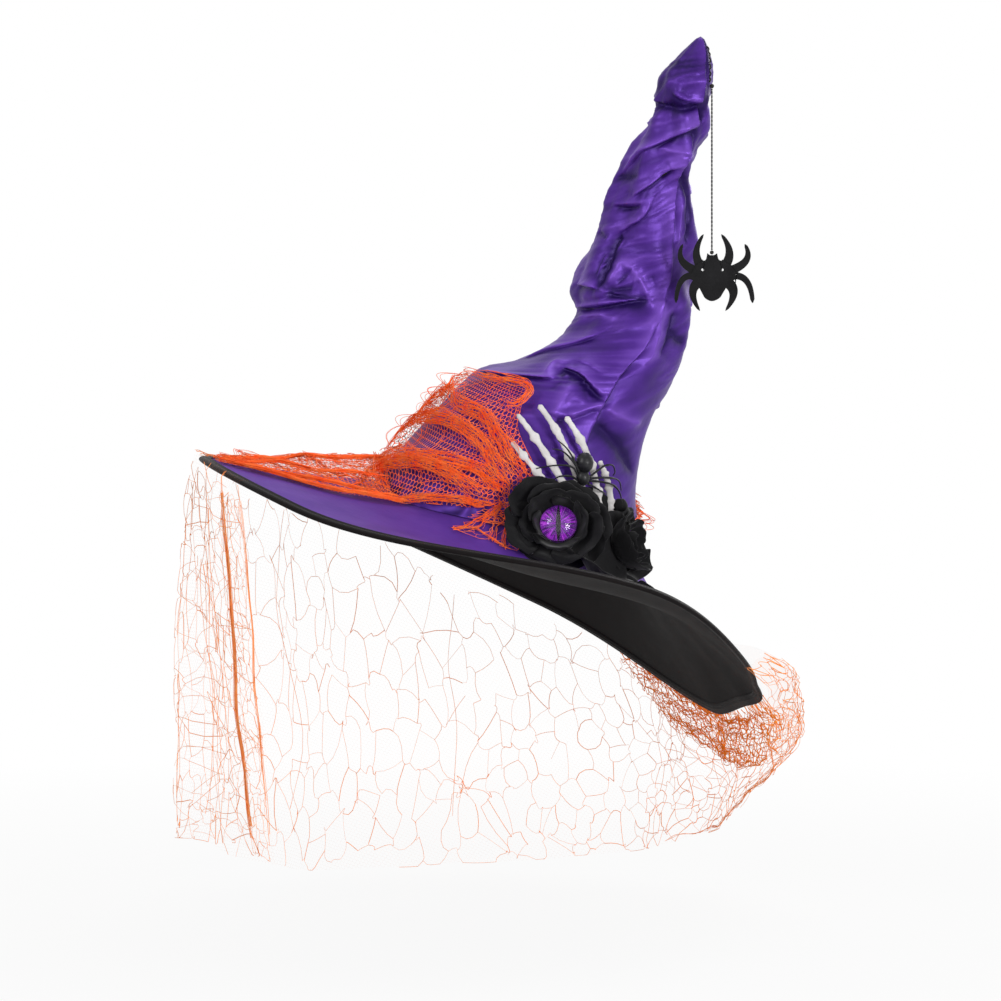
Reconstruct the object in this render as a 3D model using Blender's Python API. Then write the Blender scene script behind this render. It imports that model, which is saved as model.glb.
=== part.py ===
"""Witch hat with a wired brim, a net scarf and veil, rose trim and a felt spider on a thread.

Metres, +Z up as worn. The origin is the centre of the head opening, +X is the wearer's left
(the viewer's right) and -Y is the front. Angles go round the hat: 0 right, 90 back, 270 front.
"""
import math

import bmesh
import bpy
from mathutils import Matrix, Vector

# Head opening and layers; the crown and the trim are drawn in units of which the head radius has 96.5
HEAD_RADIUS = 0.0965
UNIT = HEAD_RADIUS / 96.5
FIT = 0.0003
SWEATBAND_WALL = 0.0012
SWEATBAND_RISE = 0.65
LINING_WALL = 0.0010
CROWN_WALL = 0.0010
BASE_ROLL = math.radians(9.5)
BASE_PITCH = math.radians(7.0)
CROWN_SEGMENTS = 24

# Crown rings above the base: centre x, y, z, half width, half depth, roll, pitch (units, degrees)
CROWN_RINGS = (
    (21.8, -3.0, 42.2, 81.3, 86.0, 18.0, 7.0),
    (43.6, -5.0, 82.1, 67.8, 74.0, 18.4, 7.0),
    (67.2, -6.0, 102.0, 56.4, 64.0, 10.6, 6.0),
    (87.5, -6.0, 121.2, 45.6, 53.0, 11.2, 5.0),
    (97.8, -6.0, 145.5, 41.0, 44.0, 3.1, 5.0),
    (96.3, -7.0, 162.7, 43.9, 42.0, 1.4, 6.0),
    (100.6, -10.0, 185.1, 40.9, 39.0, 1.0, 10.0),
    (106.2, -16.0, 208.5, 34.3, 33.0, 4.3, 16.0),
    (109.0, -27.0, 240.2, 28.0, 27.0, -6.0, 20.0),
    (118.9, -38.0, 264.2, 23.0, 23.0, 5.4, 19.0),
    (127.2, -44.0, 278.3, 21.4, 21.0, 2.9, 16.0),
    (129.4, -50.0, 292.7, 18.1, 18.0, -3.4, 13.0),
    (130.6, -53.0, 300.4, 19.7, 19.0, -3.1, 11.0),
    (133.2, -57.0, 312.9, 18.1, 17.0, 4.6, 9.0),
    (139.1, -60.0, 328.6, 10.5, 10.0, 5.9, 7.0),
    (142.2, -62.0, 339.4, 3.2, 3.2, 5.9, 6.0),
)
TIP_RISE = 0.0025
LINING_TOP = 3.0
LINING_HOLLOW_TOP = 2.9
HOLLOW_TOP = 12
CROWN_FOLDS = 5
CROWN_FOLD_DEPTH = 0.0022
CROWN_FOLD_TWIST = 0.55
CROWN_FOLD_FIRST = 2.0
CROWN_FOLD_LAST = 15.0
TAPE_WIDTH = 0.006
TAPE_WALL = 0.0010
SEAM_ANGLE = math.radians(285.0)

# Brim: edge ring as bent by its wire, and the stack of layers
BRIM_RADIUS = 0.2235
BRIM_ROLL = math.radians(24.7)
BRIM_CENTRE = Vector((0.0096, 0.0, 0.0104))
BRIM_DROOP = 0.0730
FRONT_LIFT = 0.0520
FRONT_LIFT_ANGLE = math.radians(307.0)
FRONT_LIFT_SPREAD = math.radians(75.0)
RIGHT_SAG = 0.0145
RIGHT_SAG_ANGLE = math.radians(27.0)
RIGHT_SAG_SPREAD = math.radians(50.0)
FRONT_DIP = 0.0240
FRONT_DIP_ANGLE = math.radians(296.0)
FRONT_DIP_SPREAD = math.radians(75.0)
COVER_WALL = 0.0006
CORE_WALL = 0.0020
WIRE_RADIUS = 0.0009
BINDING_WALL = 0.0008
BINDING_LAP = 0.0045
BRIM_SEGMENTS = 48
BRIM_ROWS = 4

# Net scarf
NET_WALL = 0.0006
BAND_FOLDS = 4
BAND_FOLD_HEIGHT = 0.0050
BAND_BOTTOM = 0.30
BAND_END = -80.0
BAND_TOPS = ((-80, 0.55), (-40, 0.50), (0, 0.60), (60, 0.90), (120, 1.40), (170, 2.00),
             (200, 2.10), (235, 2.05), (258, 1.95), (270, 1.10), (280, 0.55))
DRAPE_INNER = 0.010
DRAPE_EDGE = 0.0065
DRAPE_LIFT = 0.0009
DRAPE_RISE = 0.020
DRAPE_FOLD = 0.0025
DRAPE_FOLD_COUNT = 5.0
DRAPE_FOLD_SKEW = 1.5
DRAPE_COLUMNS = 26
DRAPE_ROWS = 6
DRAPE_START = math.radians(60.0)
DRAPE_HEM_INNER = math.radians(225.0)
DRAPE_HEM_OUTER = math.radians(188.0)
VEIL_SEAT = 0.0030
VEIL_STANDOFF = 0.0045
VEIL_FLARE = 0.06
VEIL_FOLD = 0.0075
VEIL_FOLD_COUNT = 12
VEIL_ROWS = 8
VEIL_LENGTHS = ((-36, 0.020), (0, 0.045), (30, 0.100), (60, 0.175), (90, 0.240),
                (132, 0.300), (180, 0.284), (204, 0.264))
VEIL_PUFF = 0.026
VEIL_PUFF_ANGLE = math.radians(-10.0)
VEIL_STRETCHES = (("veil_right", -5, 6), ("veil_back", 6, 18), ("veil_left", 18, 27))

# Felt backing and skeleton hand: points in x and z (units); fingers from thumb to little finger
BACKING_WALL = 0.0020
BACKING_CENTRE = (56.0, 2.0)
BACKING_HALF = (24.0, 16.0)
BACKING_END = 0.12
HAND_WALL = 0.0020
HAND_FACET = 0.014
HAND_GAP = 0.0007
FINGERS = (
    ((45.0, 4.0), (22.1, 32.0), (6.7, 50.0), 3.0),
    ((53.0, 0.0), (37.2, 36.1), (10.6, 69.7), 3.2),
    ((60.0, -4.0), (51.5, 43.9), (25.9, 76.2), 3.2),
    ((69.0, -4.0), (69.1, 36.1), (44.8, 67.8), 3.2),
    ((77.0, -2.0), (79.0, 18.7), (69.0, 36.6), 3.0),
)
FINGER_BONES = 4
FINGER_WAIST = 0.62
FINGER_TAPER = 0.25
WRIST = ((80.0, -10.0), (72.0, -16.0), (56.0, -16.0), (44.0, -6.0))

# Roses: each petal ring as petals, floor radius, rim radius, height, turn (degrees) and squash; eyes;
# leaves as angle (degrees), inner and outer share of the brim and half width; bud
ROSE_WALL = 0.0010
ROSE_CENTRE = (39.5, -9.0)
ROSE_AXIS = (-0.03, -0.97, 0.20)
ROSE_RISE = 0.0019
ROSE_SQUASH = 0.83
PETAL_LOBE = 0.20
PETAL_CURL = 1.6
SMALL_ROSE_CENTRE = (83.0, -80.0, -24.0)
SMALL_ROSE_AXIS = (0.86, -0.45, 0.12)
PETAL_RINGS = (
    ("rose_outer_petals", 6, 0.0210, 0.042, 0.018, 0.0, ROSE_SQUASH),
    ("rose_middle_petals", 5, 0.0190, 0.033, 0.022, 23.0, ROSE_SQUASH),
    ("rose_inner_petals", 5, 0.0150, 0.022, 0.020, 57.0, 1.0),
)
SMALL_PETAL_RINGS = (
    ("small_rose_outer_petals", 5, 0.0170, 0.028, 0.017, 0.0, 1.0),
    ("small_rose_inner_petals", 5, 0.0155, 0.021, 0.017, 34.0, 1.0),
)
EYE_RADIUS = 0.0132
EYE_DOME = 0.0070
EYE_BACK_WALL = 0.0012
LEAVES = (
    ("leaf_front", 305.0, 0.32, 0.62, 0.012),
    ("leaf_right", 322.0, 0.305, 0.61, 0.013),
)
LEAF_WALL = 0.0010
LEAF_LIFT = 0.0022
LEAF_CUP = 0.0020
LEAF_ROUNDING = 0.8
LEAF_BASE = 0.08
LEAF_POINT = 0.98
BUD_AT = (84.5, 4.0)
BUD_RADIUS = 0.0045
BUD_STRETCH = 1.3
TRIM_GAP = 0.0005

# Plastic spider on the hand: places and legs (knee, foot) in x and z (units)
SPIDER_AT = (57.9, 36.0)
SPIDER_HEAD_AT = (56.5, 25.5)
BELLY_RADIUS = 0.0065
BELLY_HALF_LENGTH = 0.0075
HEAD_RISE = 0.0048
HEAD_HALF = (0.0048, 0.0042, 0.0058)
KNEE_RISE = 0.0060
PLASTIC_LEG_RADIUS = 0.0006
PLASTIC_LEGS = (
    (69.0, 31.5, 79.0, 31.0), (70.5, 24.5, 84.5, 20.0),
    (70.0, 19.5, 84.0, 11.2), (65.0, 16.0, 73.0, 10.0),
    (37.5, 46.5, 27.0, 55.0), (42.0, 30.0, 24.0, 31.0),
    (44.0, 22.0, 33.0, 18.0), (50.0, 14.0, 46.0, 8.0),
)

# Thread and hanging felt spider; its right-hand legs as root, bend, tip and half widths (units)
THREAD_RADIUS = 0.00065
THREAD_ANGLE = math.radians(-30.0)
THREAD_PIVOT_RING = 13.6
SEWN_TOP_GAP = 0.5
SEWN_KNOT_GAP = 0.22
SEWN_POINTS = 15
FREE_POINTS = 31
KNOT_RADIUS = 0.0016
TIE_RADIUS = 0.0014
FREE_THREAD = 0.1155
FELT_WALL = 0.0026
SPIDER_HEAD = ((0.0, -0.6), (3.7, 1.1), (4.4, -2.2), (5.1, -4.1))
SPIDER_LEGS = (
    ((10.5, -6.0), (16.0, 2.7), (6.8, 14.6), 3.4, 0.8),
    ((16.3, -10.0), (30.5, -3.9), (23.6, 7.6), 3.1, 0.9),
    ((17.0, -15.0), (28.2, -15.2), (29.2, -34.4), 2.5, 1.4),
    ((12.8, -21.0), (19.3, -27.5), (9.8, -40.0), 3.8, 0.7),
)
SPIDER_TAIL = ((6.2, -30.3), (3.0, -32.4), (0.0, -33.1))
SPIDER_EYE = (7.5, -10.7, 1.0)
SPIDER_LEFT_SHARE = 0.88

BELOW = -1.0
FULL_TURN = 2.0 * math.pi
BRIM_STACK = 2.0 * COVER_WALL + CORE_WALL + 2.0 * FIT
OPENING_RADIUS = HEAD_RADIUS + SWEATBAND_WALL + FIT
CROWN_BASE_RADIUS = OPENING_RADIUS + LINING_WALL + FIT + CROWN_WALL
LINING_INSET = CROWN_WALL + FIT
SWEATBAND_INSET = LINING_INSET + LINING_WALL + FIT
BAND_LIFT = 3.0 * FIT
BACKING_STANDOFF = BAND_FOLD_HEIGHT + NET_WALL + 2.0 * FIT
HAND_STANDOFF = BACKING_STANDOFF + BACKING_WALL + HAND_GAP
ROSE_STANDOFF = HAND_STANDOFF + HAND_WALL + FIT


def ring_frame(roll, pitch):
    """Rotation that lays a level ring at the given roll (right side down) and pitch (front down)."""
    return Matrix.Rotation(roll, 3, 'Y') @ Matrix.Rotation(pitch, 3, 'X')


BASE_FRAME = ring_frame(BASE_ROLL, BASE_PITCH)
BRIM_FRAME = ring_frame(BRIM_ROLL, 0.0)
BRIM_UP = BRIM_FRAME @ Vector((0.0, 0.0, 1.0))
CROWN_SEAT = BRIM_UP * (BRIM_STACK + FIT)


def clear_scene():
    for old in list(bpy.data.objects):
        bpy.data.objects.remove(old, do_unlink=True)


def material(name, colour, roughness, metallic=0.0):
    made = bpy.data.materials.new(name)
    made.use_nodes = True
    shader = made.node_tree.nodes["Principled BSDF"]
    shader.inputs["Base Color"].default_value = (*colour, 1.0)
    shader.inputs["Roughness"].default_value = roughness
    shader.inputs["Metallic"].default_value = metallic
    return made


def add_object(name, bm, mat, smooth=True):
    """One named object from a finished bmesh, with its faces pointing out."""
    bmesh.ops.recalc_face_normals(bm, faces=bm.faces)
    mesh = bpy.data.meshes.new(name)
    bm.to_mesh(mesh)
    bm.free()
    if smooth:
        mesh.shade_smooth()
    mesh.materials.append(mat)
    made = bpy.data.objects.new(name, mesh)
    bpy.context.scene.collection.objects.link(made)
    return made


def new_grid(columns, rows):
    """Flat grid of columns by rows faces, and each corner's u and v from 0 to 1."""
    bm = bmesh.new()
    bmesh.ops.create_grid(bm, x_segments=columns, y_segments=rows, size=0.5)
    return bm, {vert: (vert.co.x + 0.5, vert.co.y + 0.5) for vert in bm.verts}


def split_quads(bm, key):
    """Cut each face from its lowest corner to its highest, so that nested layers bend alike."""
    for face in list(bm.faces):
        low = min(face.verts, key=key)
        high = max(face.verts, key=key)
        if not any(low in edge.verts and high in edge.verts for edge in face.edges):
            bmesh.utils.face_split(face, low, high)


def ring_solid(name, section, segments, place, mat):
    """Closed section swept once round: place(section point, angle) puts each corner in space."""
    count = len(section)
    bm, where = new_grid(count, segments)

    def point_of(vert):
        return section[round(where[vert][0] * count) % count]

    split_quads(bm, lambda vert: (point_of(vert)[0], where[vert][1]))
    for vert in bm.verts:
        column = round(where[vert][1] * segments) % segments
        vert.co = place(point_of(vert), FULL_TURN * column / segments)
    bmesh.ops.remove_doubles(bm, verts=bm.verts, dist=1e-6)
    return add_object(name, bm, mat)


def sheet_solid(name, columns, rows, place, wall, mat):
    """Open sheet with a wall: place(u, v, depth) at depth 0 is its face, at depth wall its back."""
    bm, where = new_grid(columns, rows)
    split_quads(bm, lambda vert: where[vert])
    made = bmesh.ops.extrude_face_region(bm, geom=bm.faces[:])
    copies = [item for item in made["geom"] if isinstance(item, bmesh.types.BMVert)]
    for vert in copies:
        vert.co = place(vert.co.x + 0.5, vert.co.y + 0.5, wall)
    for vert, (u, v) in where.items():
        vert.co = place(u, v, 0.0)
    return add_object(name, bm, mat)


def catmull(before, start, end, after, f):
    square = 2.0 * before - 5.0 * start + 4.0 * end - after
    cube = 3.0 * start - before - 3.0 * end + after
    return 0.5 * (2.0 * start + (end - before) * f + square * f * f + cube * f ** 3)


def blend_table(table, at):
    """Smooth value at the given angle from (angle, value) rows."""
    last = len(table) - 1
    row = 0
    while row < last - 1 and at > table[row + 1][0]:
        row += 1
    f = (at - table[row][0]) / (table[row + 1][0] - table[row][0])
    values = [table[min(max(row + k, 0), last)][1] for k in (-1, 0, 1, 2)]
    return catmull(*values, f)


# Crown surface

def all_rings():
    base = (*(CROWN_SEAT / UNIT), CROWN_BASE_RADIUS / UNIT, CROWN_BASE_RADIUS / UNIT,
            math.degrees(BASE_ROLL), math.degrees(BASE_PITCH))
    return (base,) + CROWN_RINGS


RINGS = all_rings()
TIP_RING = len(RINGS) - 1


def crown_ring(t):
    """Centre, half width, half depth and frame of the crown's ring at station t."""
    row = min(int(t), TIP_RING - 1)
    rows = [RINGS[min(max(row + k, 0), TIP_RING)] for k in (-1, 0, 1, 2)]
    x, y, z, wide, deep, roll, pitch = (catmull(*column, t - row) for column in zip(*rows))
    return (Vector((x, y, z)) * UNIT, wide * UNIT, deep * UNIT,
            ring_frame(math.radians(roll), math.radians(pitch)))


def crown_fold(t, angle):
    """Soft folds of the crown, flat at the base and at the tip."""
    share = (t - CROWN_FOLD_FIRST) / (CROWN_FOLD_LAST - CROWN_FOLD_FIRST)
    fade = math.sin(math.pi * min(max(share, 0.0), 1.0))
    return CROWN_FOLD_DEPTH * fade * math.cos(CROWN_FOLDS * angle + CROWN_FOLD_TWIST * t * math.pi)


def crown_point(t, angle, inset=0.0):
    centre, wide, deep, frame = crown_ring(t)
    grow = crown_fold(t, angle) - inset
    return centre + frame @ Vector(((wide + grow) * math.cos(angle), (deep + grow) * math.sin(angle), 0.0))


def crown_front(x, z):
    """Depth y of the crown's front face at the given x and height z, by halving the ring range."""
    low, high = 0.0, 9.0
    for _ in range(40):
        t = 0.5 * (low + high)
        centre, wide, deep, frame = crown_ring(t)
        span = wide * frame.col[0].x
        share = min(max((x - centre.x) / span, -0.98), 0.98)
        point = centre + frame @ Vector((wide * share, -deep * math.sqrt(1.0 - share * share), 0.0))
        if point.z < z:
            low = t
        else:
            high = t
    return point.y


def crown_rows(first, last):
    """Ring stations from first to last, two to each pair of crown rings."""
    steps = round((last - first) * 2)
    return [first + (last - first) * k / steps for k in range(steps + 1)]


def crown_shell(name, top, inset, wall, hollow_top, mat):
    """Shell between two insets, open at the base, closed at its top."""
    outer = [(t, inset) for t in crown_rows(0.0, top)]
    inner = [(t, inset + wall) for t in crown_rows(0.0, hollow_top)]
    section = outer + [(top, None), (hollow_top, None)] + inner[::-1]

    def place(point, angle):
        t, depth = point
        if depth is None:
            crest = TIP_RISE if t == TIP_RING else -wall * (t != top)
            return crown_ring(t)[0] + Vector((0.0, 0.0, crest))
        return crown_point(t, angle, depth)

    return ring_solid(name, section, CROWN_SEGMENTS, place, mat)


def make_crown(satin, lining):
    crown_shell("crown_cone", TIP_RING, 0.0, CROWN_WALL, HOLLOW_TOP, satin)
    crown_shell("crown_lining", LINING_TOP, LINING_INSET, LINING_WALL, LINING_HOLLOW_TOP, lining)


def make_sweatband(mat):
    rows = [0.0, 0.5 * SWEATBAND_RISE, SWEATBAND_RISE]
    inset = SWEATBAND_INSET
    outer = [(t, inset) for t in rows]
    inner = [(t, inset + SWEATBAND_WALL) for t in rows]
    section = [(BELOW, inset)] + outer + inner[::-1] + [(BELOW, inset + SWEATBAND_WALL)]

    def place(point, angle):
        t, depth = point
        if t == BELOW:
            return crown_point(0.0, angle, depth) - CROWN_SEAT
        return crown_point(t, angle, depth)

    ring_solid("sweatband", section, CROWN_SEGMENTS, place, mat)


def make_gather_tape(mat):
    """Tape sewn inside the front seam, from above the lining to below the kink."""
    rows = crown_rows(LINING_TOP + 0.5, HOLLOW_TOP - 1.0)
    facet = TAPE_WIDTH * math.tan(math.pi / CROWN_SEGMENTS)

    def place(u, v, depth):
        spot = v * (len(rows) - 1)
        low = min(int(spot), len(rows) - 2)
        t = rows[low] + (rows[low + 1] - rows[low]) * (spot - low)
        wide = crown_ring(t)[1]
        angle = SEAM_ANGLE + (u - 0.5) * TAPE_WIDTH / wide
        return crown_point(t, angle, CROWN_WALL + 2.0 * FIT + facet + depth)

    sheet_solid("gather_tape", 1, len(rows) - 1, place, TAPE_WALL, mat)


# Brim surface

def bump(angle, centre, spread):
    """Smooth hump from 0 through 1 at the centre angle, as wide as the spread on each side."""
    offset = (angle - centre + math.pi) % FULL_TURN - math.pi
    return math.cos(0.5 * math.pi * min(abs(offset) / spread, 1.0)) ** 2


def brim_edge(angle):
    rise = (FRONT_LIFT * bump(angle, FRONT_LIFT_ANGLE, FRONT_LIFT_SPREAD) - BRIM_DROOP
            - RIGHT_SAG * bump(angle, RIGHT_SAG_ANGLE, RIGHT_SAG_SPREAD))
    edge = Vector((BRIM_RADIUS * math.cos(angle), BRIM_RADIUS * math.sin(angle), rise))
    return BRIM_CENTRE + BRIM_FRAME @ edge


def brim_point(radius, angle, lift):
    """Point of the brim at a radius, lifted off its underside along the brim's own up direction."""
    inner = BASE_FRAME @ Vector((OPENING_RADIUS * math.cos(angle), OPENING_RADIUS * math.sin(angle), 0.0))
    share = (radius - OPENING_RADIUS) / (BRIM_RADIUS - OPENING_RADIUS)
    hollow = 27.0 / 4.0 * share * (1.0 - share) ** 2
    dip = FRONT_DIP * bump(angle, FRONT_DIP_ANGLE, FRONT_DIP_SPREAD) * hollow
    return inner.lerp(brim_edge(angle), share) + BRIM_UP * (lift - dip)


def brim_place(point, angle):
    return brim_point(point[0], angle, point[1])


def make_brim(satin, black, core, steel):
    edge = BRIM_RADIUS - BINDING_WALL - FIT - 2.0 * WIRE_RADIUS - FIT - FIT
    lap = edge - BINDING_LAP
    radii = [OPENING_RADIUS + (lap - OPENING_RADIUS) * k / BRIM_ROWS for k in range(BRIM_ROWS + 1)] + [edge]
    layers = (("brim_under_cover", 0.0, COVER_WALL, black),
              ("brim_stiffener", COVER_WALL + FIT, CORE_WALL, core),
              ("brim_top_cover", COVER_WALL + CORE_WALL + 2.0 * FIT, COVER_WALL, satin))
    for name, bottom, wall, mat in layers:
        section = [(r, bottom) for r in radii] + [(r, bottom + wall) for r in reversed(radii)]
        ring_solid(name, section, BRIM_SEGMENTS, brim_place, mat)

    middle = 0.5 * BRIM_STACK
    wire_at = edge + FIT + WIRE_RADIUS
    corners = [FULL_TURN * k / 6 for k in range(6)]
    wire = [(wire_at + WIRE_RADIUS * math.cos(a), middle + WIRE_RADIUS * math.sin(a)) for a in corners]
    ring_solid("brim_edge_wire", wire, BRIM_SEGMENTS, brim_place, steel)

    inside = ((lap, -FIT), (edge + WIRE_RADIUS, -FIT), (wire_at + WIRE_RADIUS + FIT, middle - WIRE_RADIUS),
              (wire_at + WIRE_RADIUS + FIT, middle + WIRE_RADIUS),
              (edge + WIRE_RADIUS, BRIM_STACK + FIT), (lap, BRIM_STACK + FIT))
    low = -FIT - BINDING_WALL
    high = BRIM_STACK + FIT + BINDING_WALL
    outside = ((lap, high), (edge + WIRE_RADIUS, high), (BRIM_RADIUS, middle + WIRE_RADIUS),
               (BRIM_RADIUS, middle - WIRE_RADIUS), (edge + WIRE_RADIUS, low), (lap, low))
    ring_solid("brim_binding", inside + outside, BRIM_SEGMENTS, brim_place, black)


# Net scarf

def band_top(angle):
    """Ring station where the band ends: high on the left shoulder, low behind the trim and at the right."""
    return blend_table(BAND_TOPS, (math.degrees(angle) - BAND_END) % 360.0 + BAND_END)


def make_band(net):
    def place(point, angle):
        v, depth = point
        t = BAND_BOTTOM + v * (band_top(angle) - BAND_BOTTOM)
        ridge = 0.5 - 0.5 * math.cos(FULL_TURN * (BAND_FOLDS * v + math.sin(angle)))
        out = BAND_LIFT + BAND_FOLD_HEIGHT * ridge * math.sin(math.pi * v) ** 0.5
        return crown_point(t, angle, -out - depth)

    steps = 2 * BAND_FOLDS
    rows = [k / steps for k in range(steps + 1)]
    section = [(v, 0.0) for v in rows] + [(v, NET_WALL) for v in reversed(rows)]
    ring_solid("net_band", section, 3 * CROWN_SEGMENTS // 2, place, net)


def make_drape(net):
    """Net stretched over the left and the back of the brim, from beside the crown to the binding."""
    inner = CROWN_BASE_RADIUS + DRAPE_INNER
    outer = BRIM_RADIUS - BINDING_LAP - DRAPE_EDGE

    def place(u, v, depth):
        end = DRAPE_HEM_INNER + (DRAPE_HEM_OUTER - DRAPE_HEM_INNER) * v
        angle = DRAPE_START + (end - DRAPE_START) * u
        radius = inner + (outer - inner) * v
        canopy = DRAPE_RISE * math.sin(math.pi * u * u) * (1.0 - v * v)
        wave = 0.5 - 0.5 * math.cos(FULL_TURN * (DRAPE_FOLD_COUNT * u + DRAPE_FOLD_SKEW * v))
        fold = DRAPE_FOLD * wave * math.sin(math.pi * v)
        return brim_point(radius, angle, BRIM_STACK + DRAPE_LIFT + canopy + fold + depth)

    sheet_solid("net_brim_drape", DRAPE_COLUMNS, DRAPE_ROWS, place, NET_WALL, net)


def veil_point(angle, v, depth):
    """Veil from its seat on the binding over the edge and down; v runs from 0 to 1."""
    degrees = math.degrees(angle)
    length = blend_table(VEIL_LENGTHS, degrees)
    seat = BRIM_STACK + 2.0 * FIT + BINDING_WALL
    if v == 0.0:
        return brim_point(BRIM_RADIUS - VEIL_SEAT, angle, seat + depth)
    turn = brim_point(BRIM_RADIUS + VEIL_STANDOFF + depth, angle, seat + depth)
    out = Vector((math.cos(angle), math.sin(angle), 0.0))
    fall = max(v - 1.0 / VEIL_ROWS, 0.0) / (1.0 - 1.0 / VEIL_ROWS)
    puff = VEIL_PUFF * max(math.cos(angle - VEIL_PUFF_ANGLE), 0.0) ** 2 * math.sin(math.pi * fall ** 0.7)
    wave = VEIL_FOLD * math.cos(VEIL_FOLD_COUNT * angle) * min(4.0 * fall, 1.0)
    flare = VEIL_FLARE * length * fall + puff + max(wave, -VEIL_FLARE * length * fall)
    return turn + out * flare - Vector((0.0, 0.0, length * fall))


def make_veil(net):
    step = FULL_TURN / BRIM_SEGMENTS
    gap = FIT / BRIM_RADIUS
    for name, first, last in VEIL_STRETCHES:
        def place(u, v, depth, first=first, last=last):
            angle = step * (first + (last - first) * u)
            inset = gap * (1.0 - 2.0 * u)
            return veil_point(angle + inset, v, depth)

        sheet_solid(name, last - first, VEIL_ROWS, place, NET_WALL, net)


# Flat trim cut from sheet

def stroke(centre_line, half_width, samples):
    """Left side from root to tip, then right side back, of a strip along a quadratic curve."""
    root, bend, tip = (Vector(point) for point in centre_line)
    left = []
    right = []
    for k in range(samples + 1):
        f = k / samples
        point = root * (1 - f) ** 2 + bend * 2 * f * (1 - f) + tip * f * f
        along = ((bend - root) * (1 - f) + (tip - bend) * f).normalized()
        side = Vector((-along.y, along.x)) * half_width(f)
        left.append(point + side)
        right.append(point - side)
    return left + right[::-1]


def plate_bmesh(outline, wall, longest=1.0):
    """Plate from an outline in x and z, front at y 0 and back at y wall, with no edge past longest."""
    bm = bmesh.new()
    corners = [bm.verts.new((x, 0.0, z)) for x, z in outline]
    face = bm.faces.new(corners)
    face.normal_update()
    bmesh.ops.triangulate(bm, faces=[face])
    for _ in range(2):
        wide = [edge for edge in bm.edges if edge.calc_length() > longest]
        if wide:
            bmesh.ops.subdivide_edges(bm, edges=wide, cuts=1)
            bmesh.ops.triangulate(bm, faces=bm.faces[:])
    back = bmesh.ops.extrude_face_region(bm, geom=bm.faces[:])
    moved = [item for item in back["geom"] if isinstance(item, bmesh.types.BMVert)]
    bmesh.ops.translate(bm, verts=moved, vec=(0.0, wall, 0.0))
    return bm


def wrap_on_crown(bm, standoff):
    """Lay a plate on the crown's front at a stand-off of its back face, keeping its wall."""
    for vert in bm.verts:
        vert.co.y += crown_front(vert.co.x, vert.co.z) - standoff


def make_hand(bone):
    """Flat skeleton hand: five knuckled fingers on a wrist plate, bent round the crown."""
    outline = []
    for root, bend, tip, half in FINGERS:
        def half_width(f, half=half):
            knob = 0.5 + 0.5 * math.cos(FULL_TURN * FINGER_BONES * (1.0 - f))
            return half * (FINGER_WAIST + (1.0 - FINGER_WAIST) * knob) * (1.0 - FINGER_TAPER * f)

        outline += stroke((root, bend, tip), half_width, 3 * FINGER_BONES)
    outline += [Vector(point) for point in WRIST]
    bm = plate_bmesh([point * UNIT for point in outline], HAND_WALL, longest=HAND_FACET)
    wrap_on_crown(bm, HAND_STANDOFF + HAND_WALL)
    add_object("skeleton_hand", bm, bone, smooth=False)


def make_backing(felt):
    """Felt oval that the trim is glued to, over the net band."""
    centre_x, centre_z = BACKING_CENTRE
    half_x, half_z = BACKING_HALF

    def place(u, v, depth):
        z = UNIT * (centre_z + half_z * (2.0 * v - 1.0))
        share = math.sin(math.pi * (BACKING_END + (1.0 - 2.0 * BACKING_END) * v))
        x = UNIT * (centre_x + half_x * (2.0 * u - 1.0) * share)
        return Vector((x, crown_front(x, z) - BACKING_STANDOFF - depth, z))

    sheet_solid("trim_backing", 6, 6, place, BACKING_WALL, felt)


# Roses

def trim_frame(centre, axis):
    """Local frame of a flower: its Z is the axis, its Y points up."""
    forward = Vector(axis).normalized()
    side = Vector((0.0, 0.0, 1.0)).cross(forward).normalized()
    up = forward.cross(side)
    frame = Matrix((side, up, forward)).transposed().to_4x4()
    frame.translation = centre
    return frame


def petal_ring(ring, frame, floor, mat):
    """Ring of petals as one cupped shell with a lobed rim that opens outward."""
    name, petals, base, rim, height, turn, squash = ring
    rises = (0.0, 0.35, 0.7, 1.0)

    def place(point, angle):
        rise, depth = point
        if rise == BELOW:
            return frame @ Vector((0.0, 0.0, floor + depth))
        lobe = abs(math.cos(0.5 * petals * (angle + math.radians(turn))))
        radius = base + (rim - base) * rise * (1.0 - PETAL_LOBE + PETAL_LOBE * lobe) - depth
        crest = height * (1.0 - PETAL_LOBE + PETAL_LOBE * lobe)
        lift = floor + crest * rise ** PETAL_CURL + depth * (1.0 - rise)
        return frame @ Vector((radius * math.cos(angle), squash * radius * math.sin(angle), lift))

    outside = [(BELOW, 0.0)] + [(rise, 0.0) for rise in rises]
    inside = [(rise, ROSE_WALL) for rise in reversed(rises)] + [(BELOW, ROSE_WALL)]
    return ring_solid(name, outside + inside, 5 * petals, place, mat)


def make_eye(name, frame, floor, glass, iris):
    """Coloured back disc with a clear dome on it."""
    steps = [0.5 * math.pi * k / 4 for k in range(4)]
    dome_floor = floor + EYE_BACK_WALL + FIT
    arc = [(EYE_RADIUS * math.cos(a), dome_floor + EYE_DOME * math.sin(a)) for a in steps]
    dome = [(0.0, dome_floor)] + arc + [(0.0, dome_floor + EYE_DOME)]
    top = floor + EYE_BACK_WALL
    back = [(0.0, floor), (EYE_RADIUS, floor), (EYE_RADIUS, top), (0.0, top)]

    def place(point, angle):
        return frame @ Vector((point[0] * math.cos(angle), point[0] * math.sin(angle), point[1]))

    ring_solid(name + "_iris_back", back, 24, place, iris)
    ring_solid(name + "_glass_dome", dome, 24, place, glass)


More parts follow.
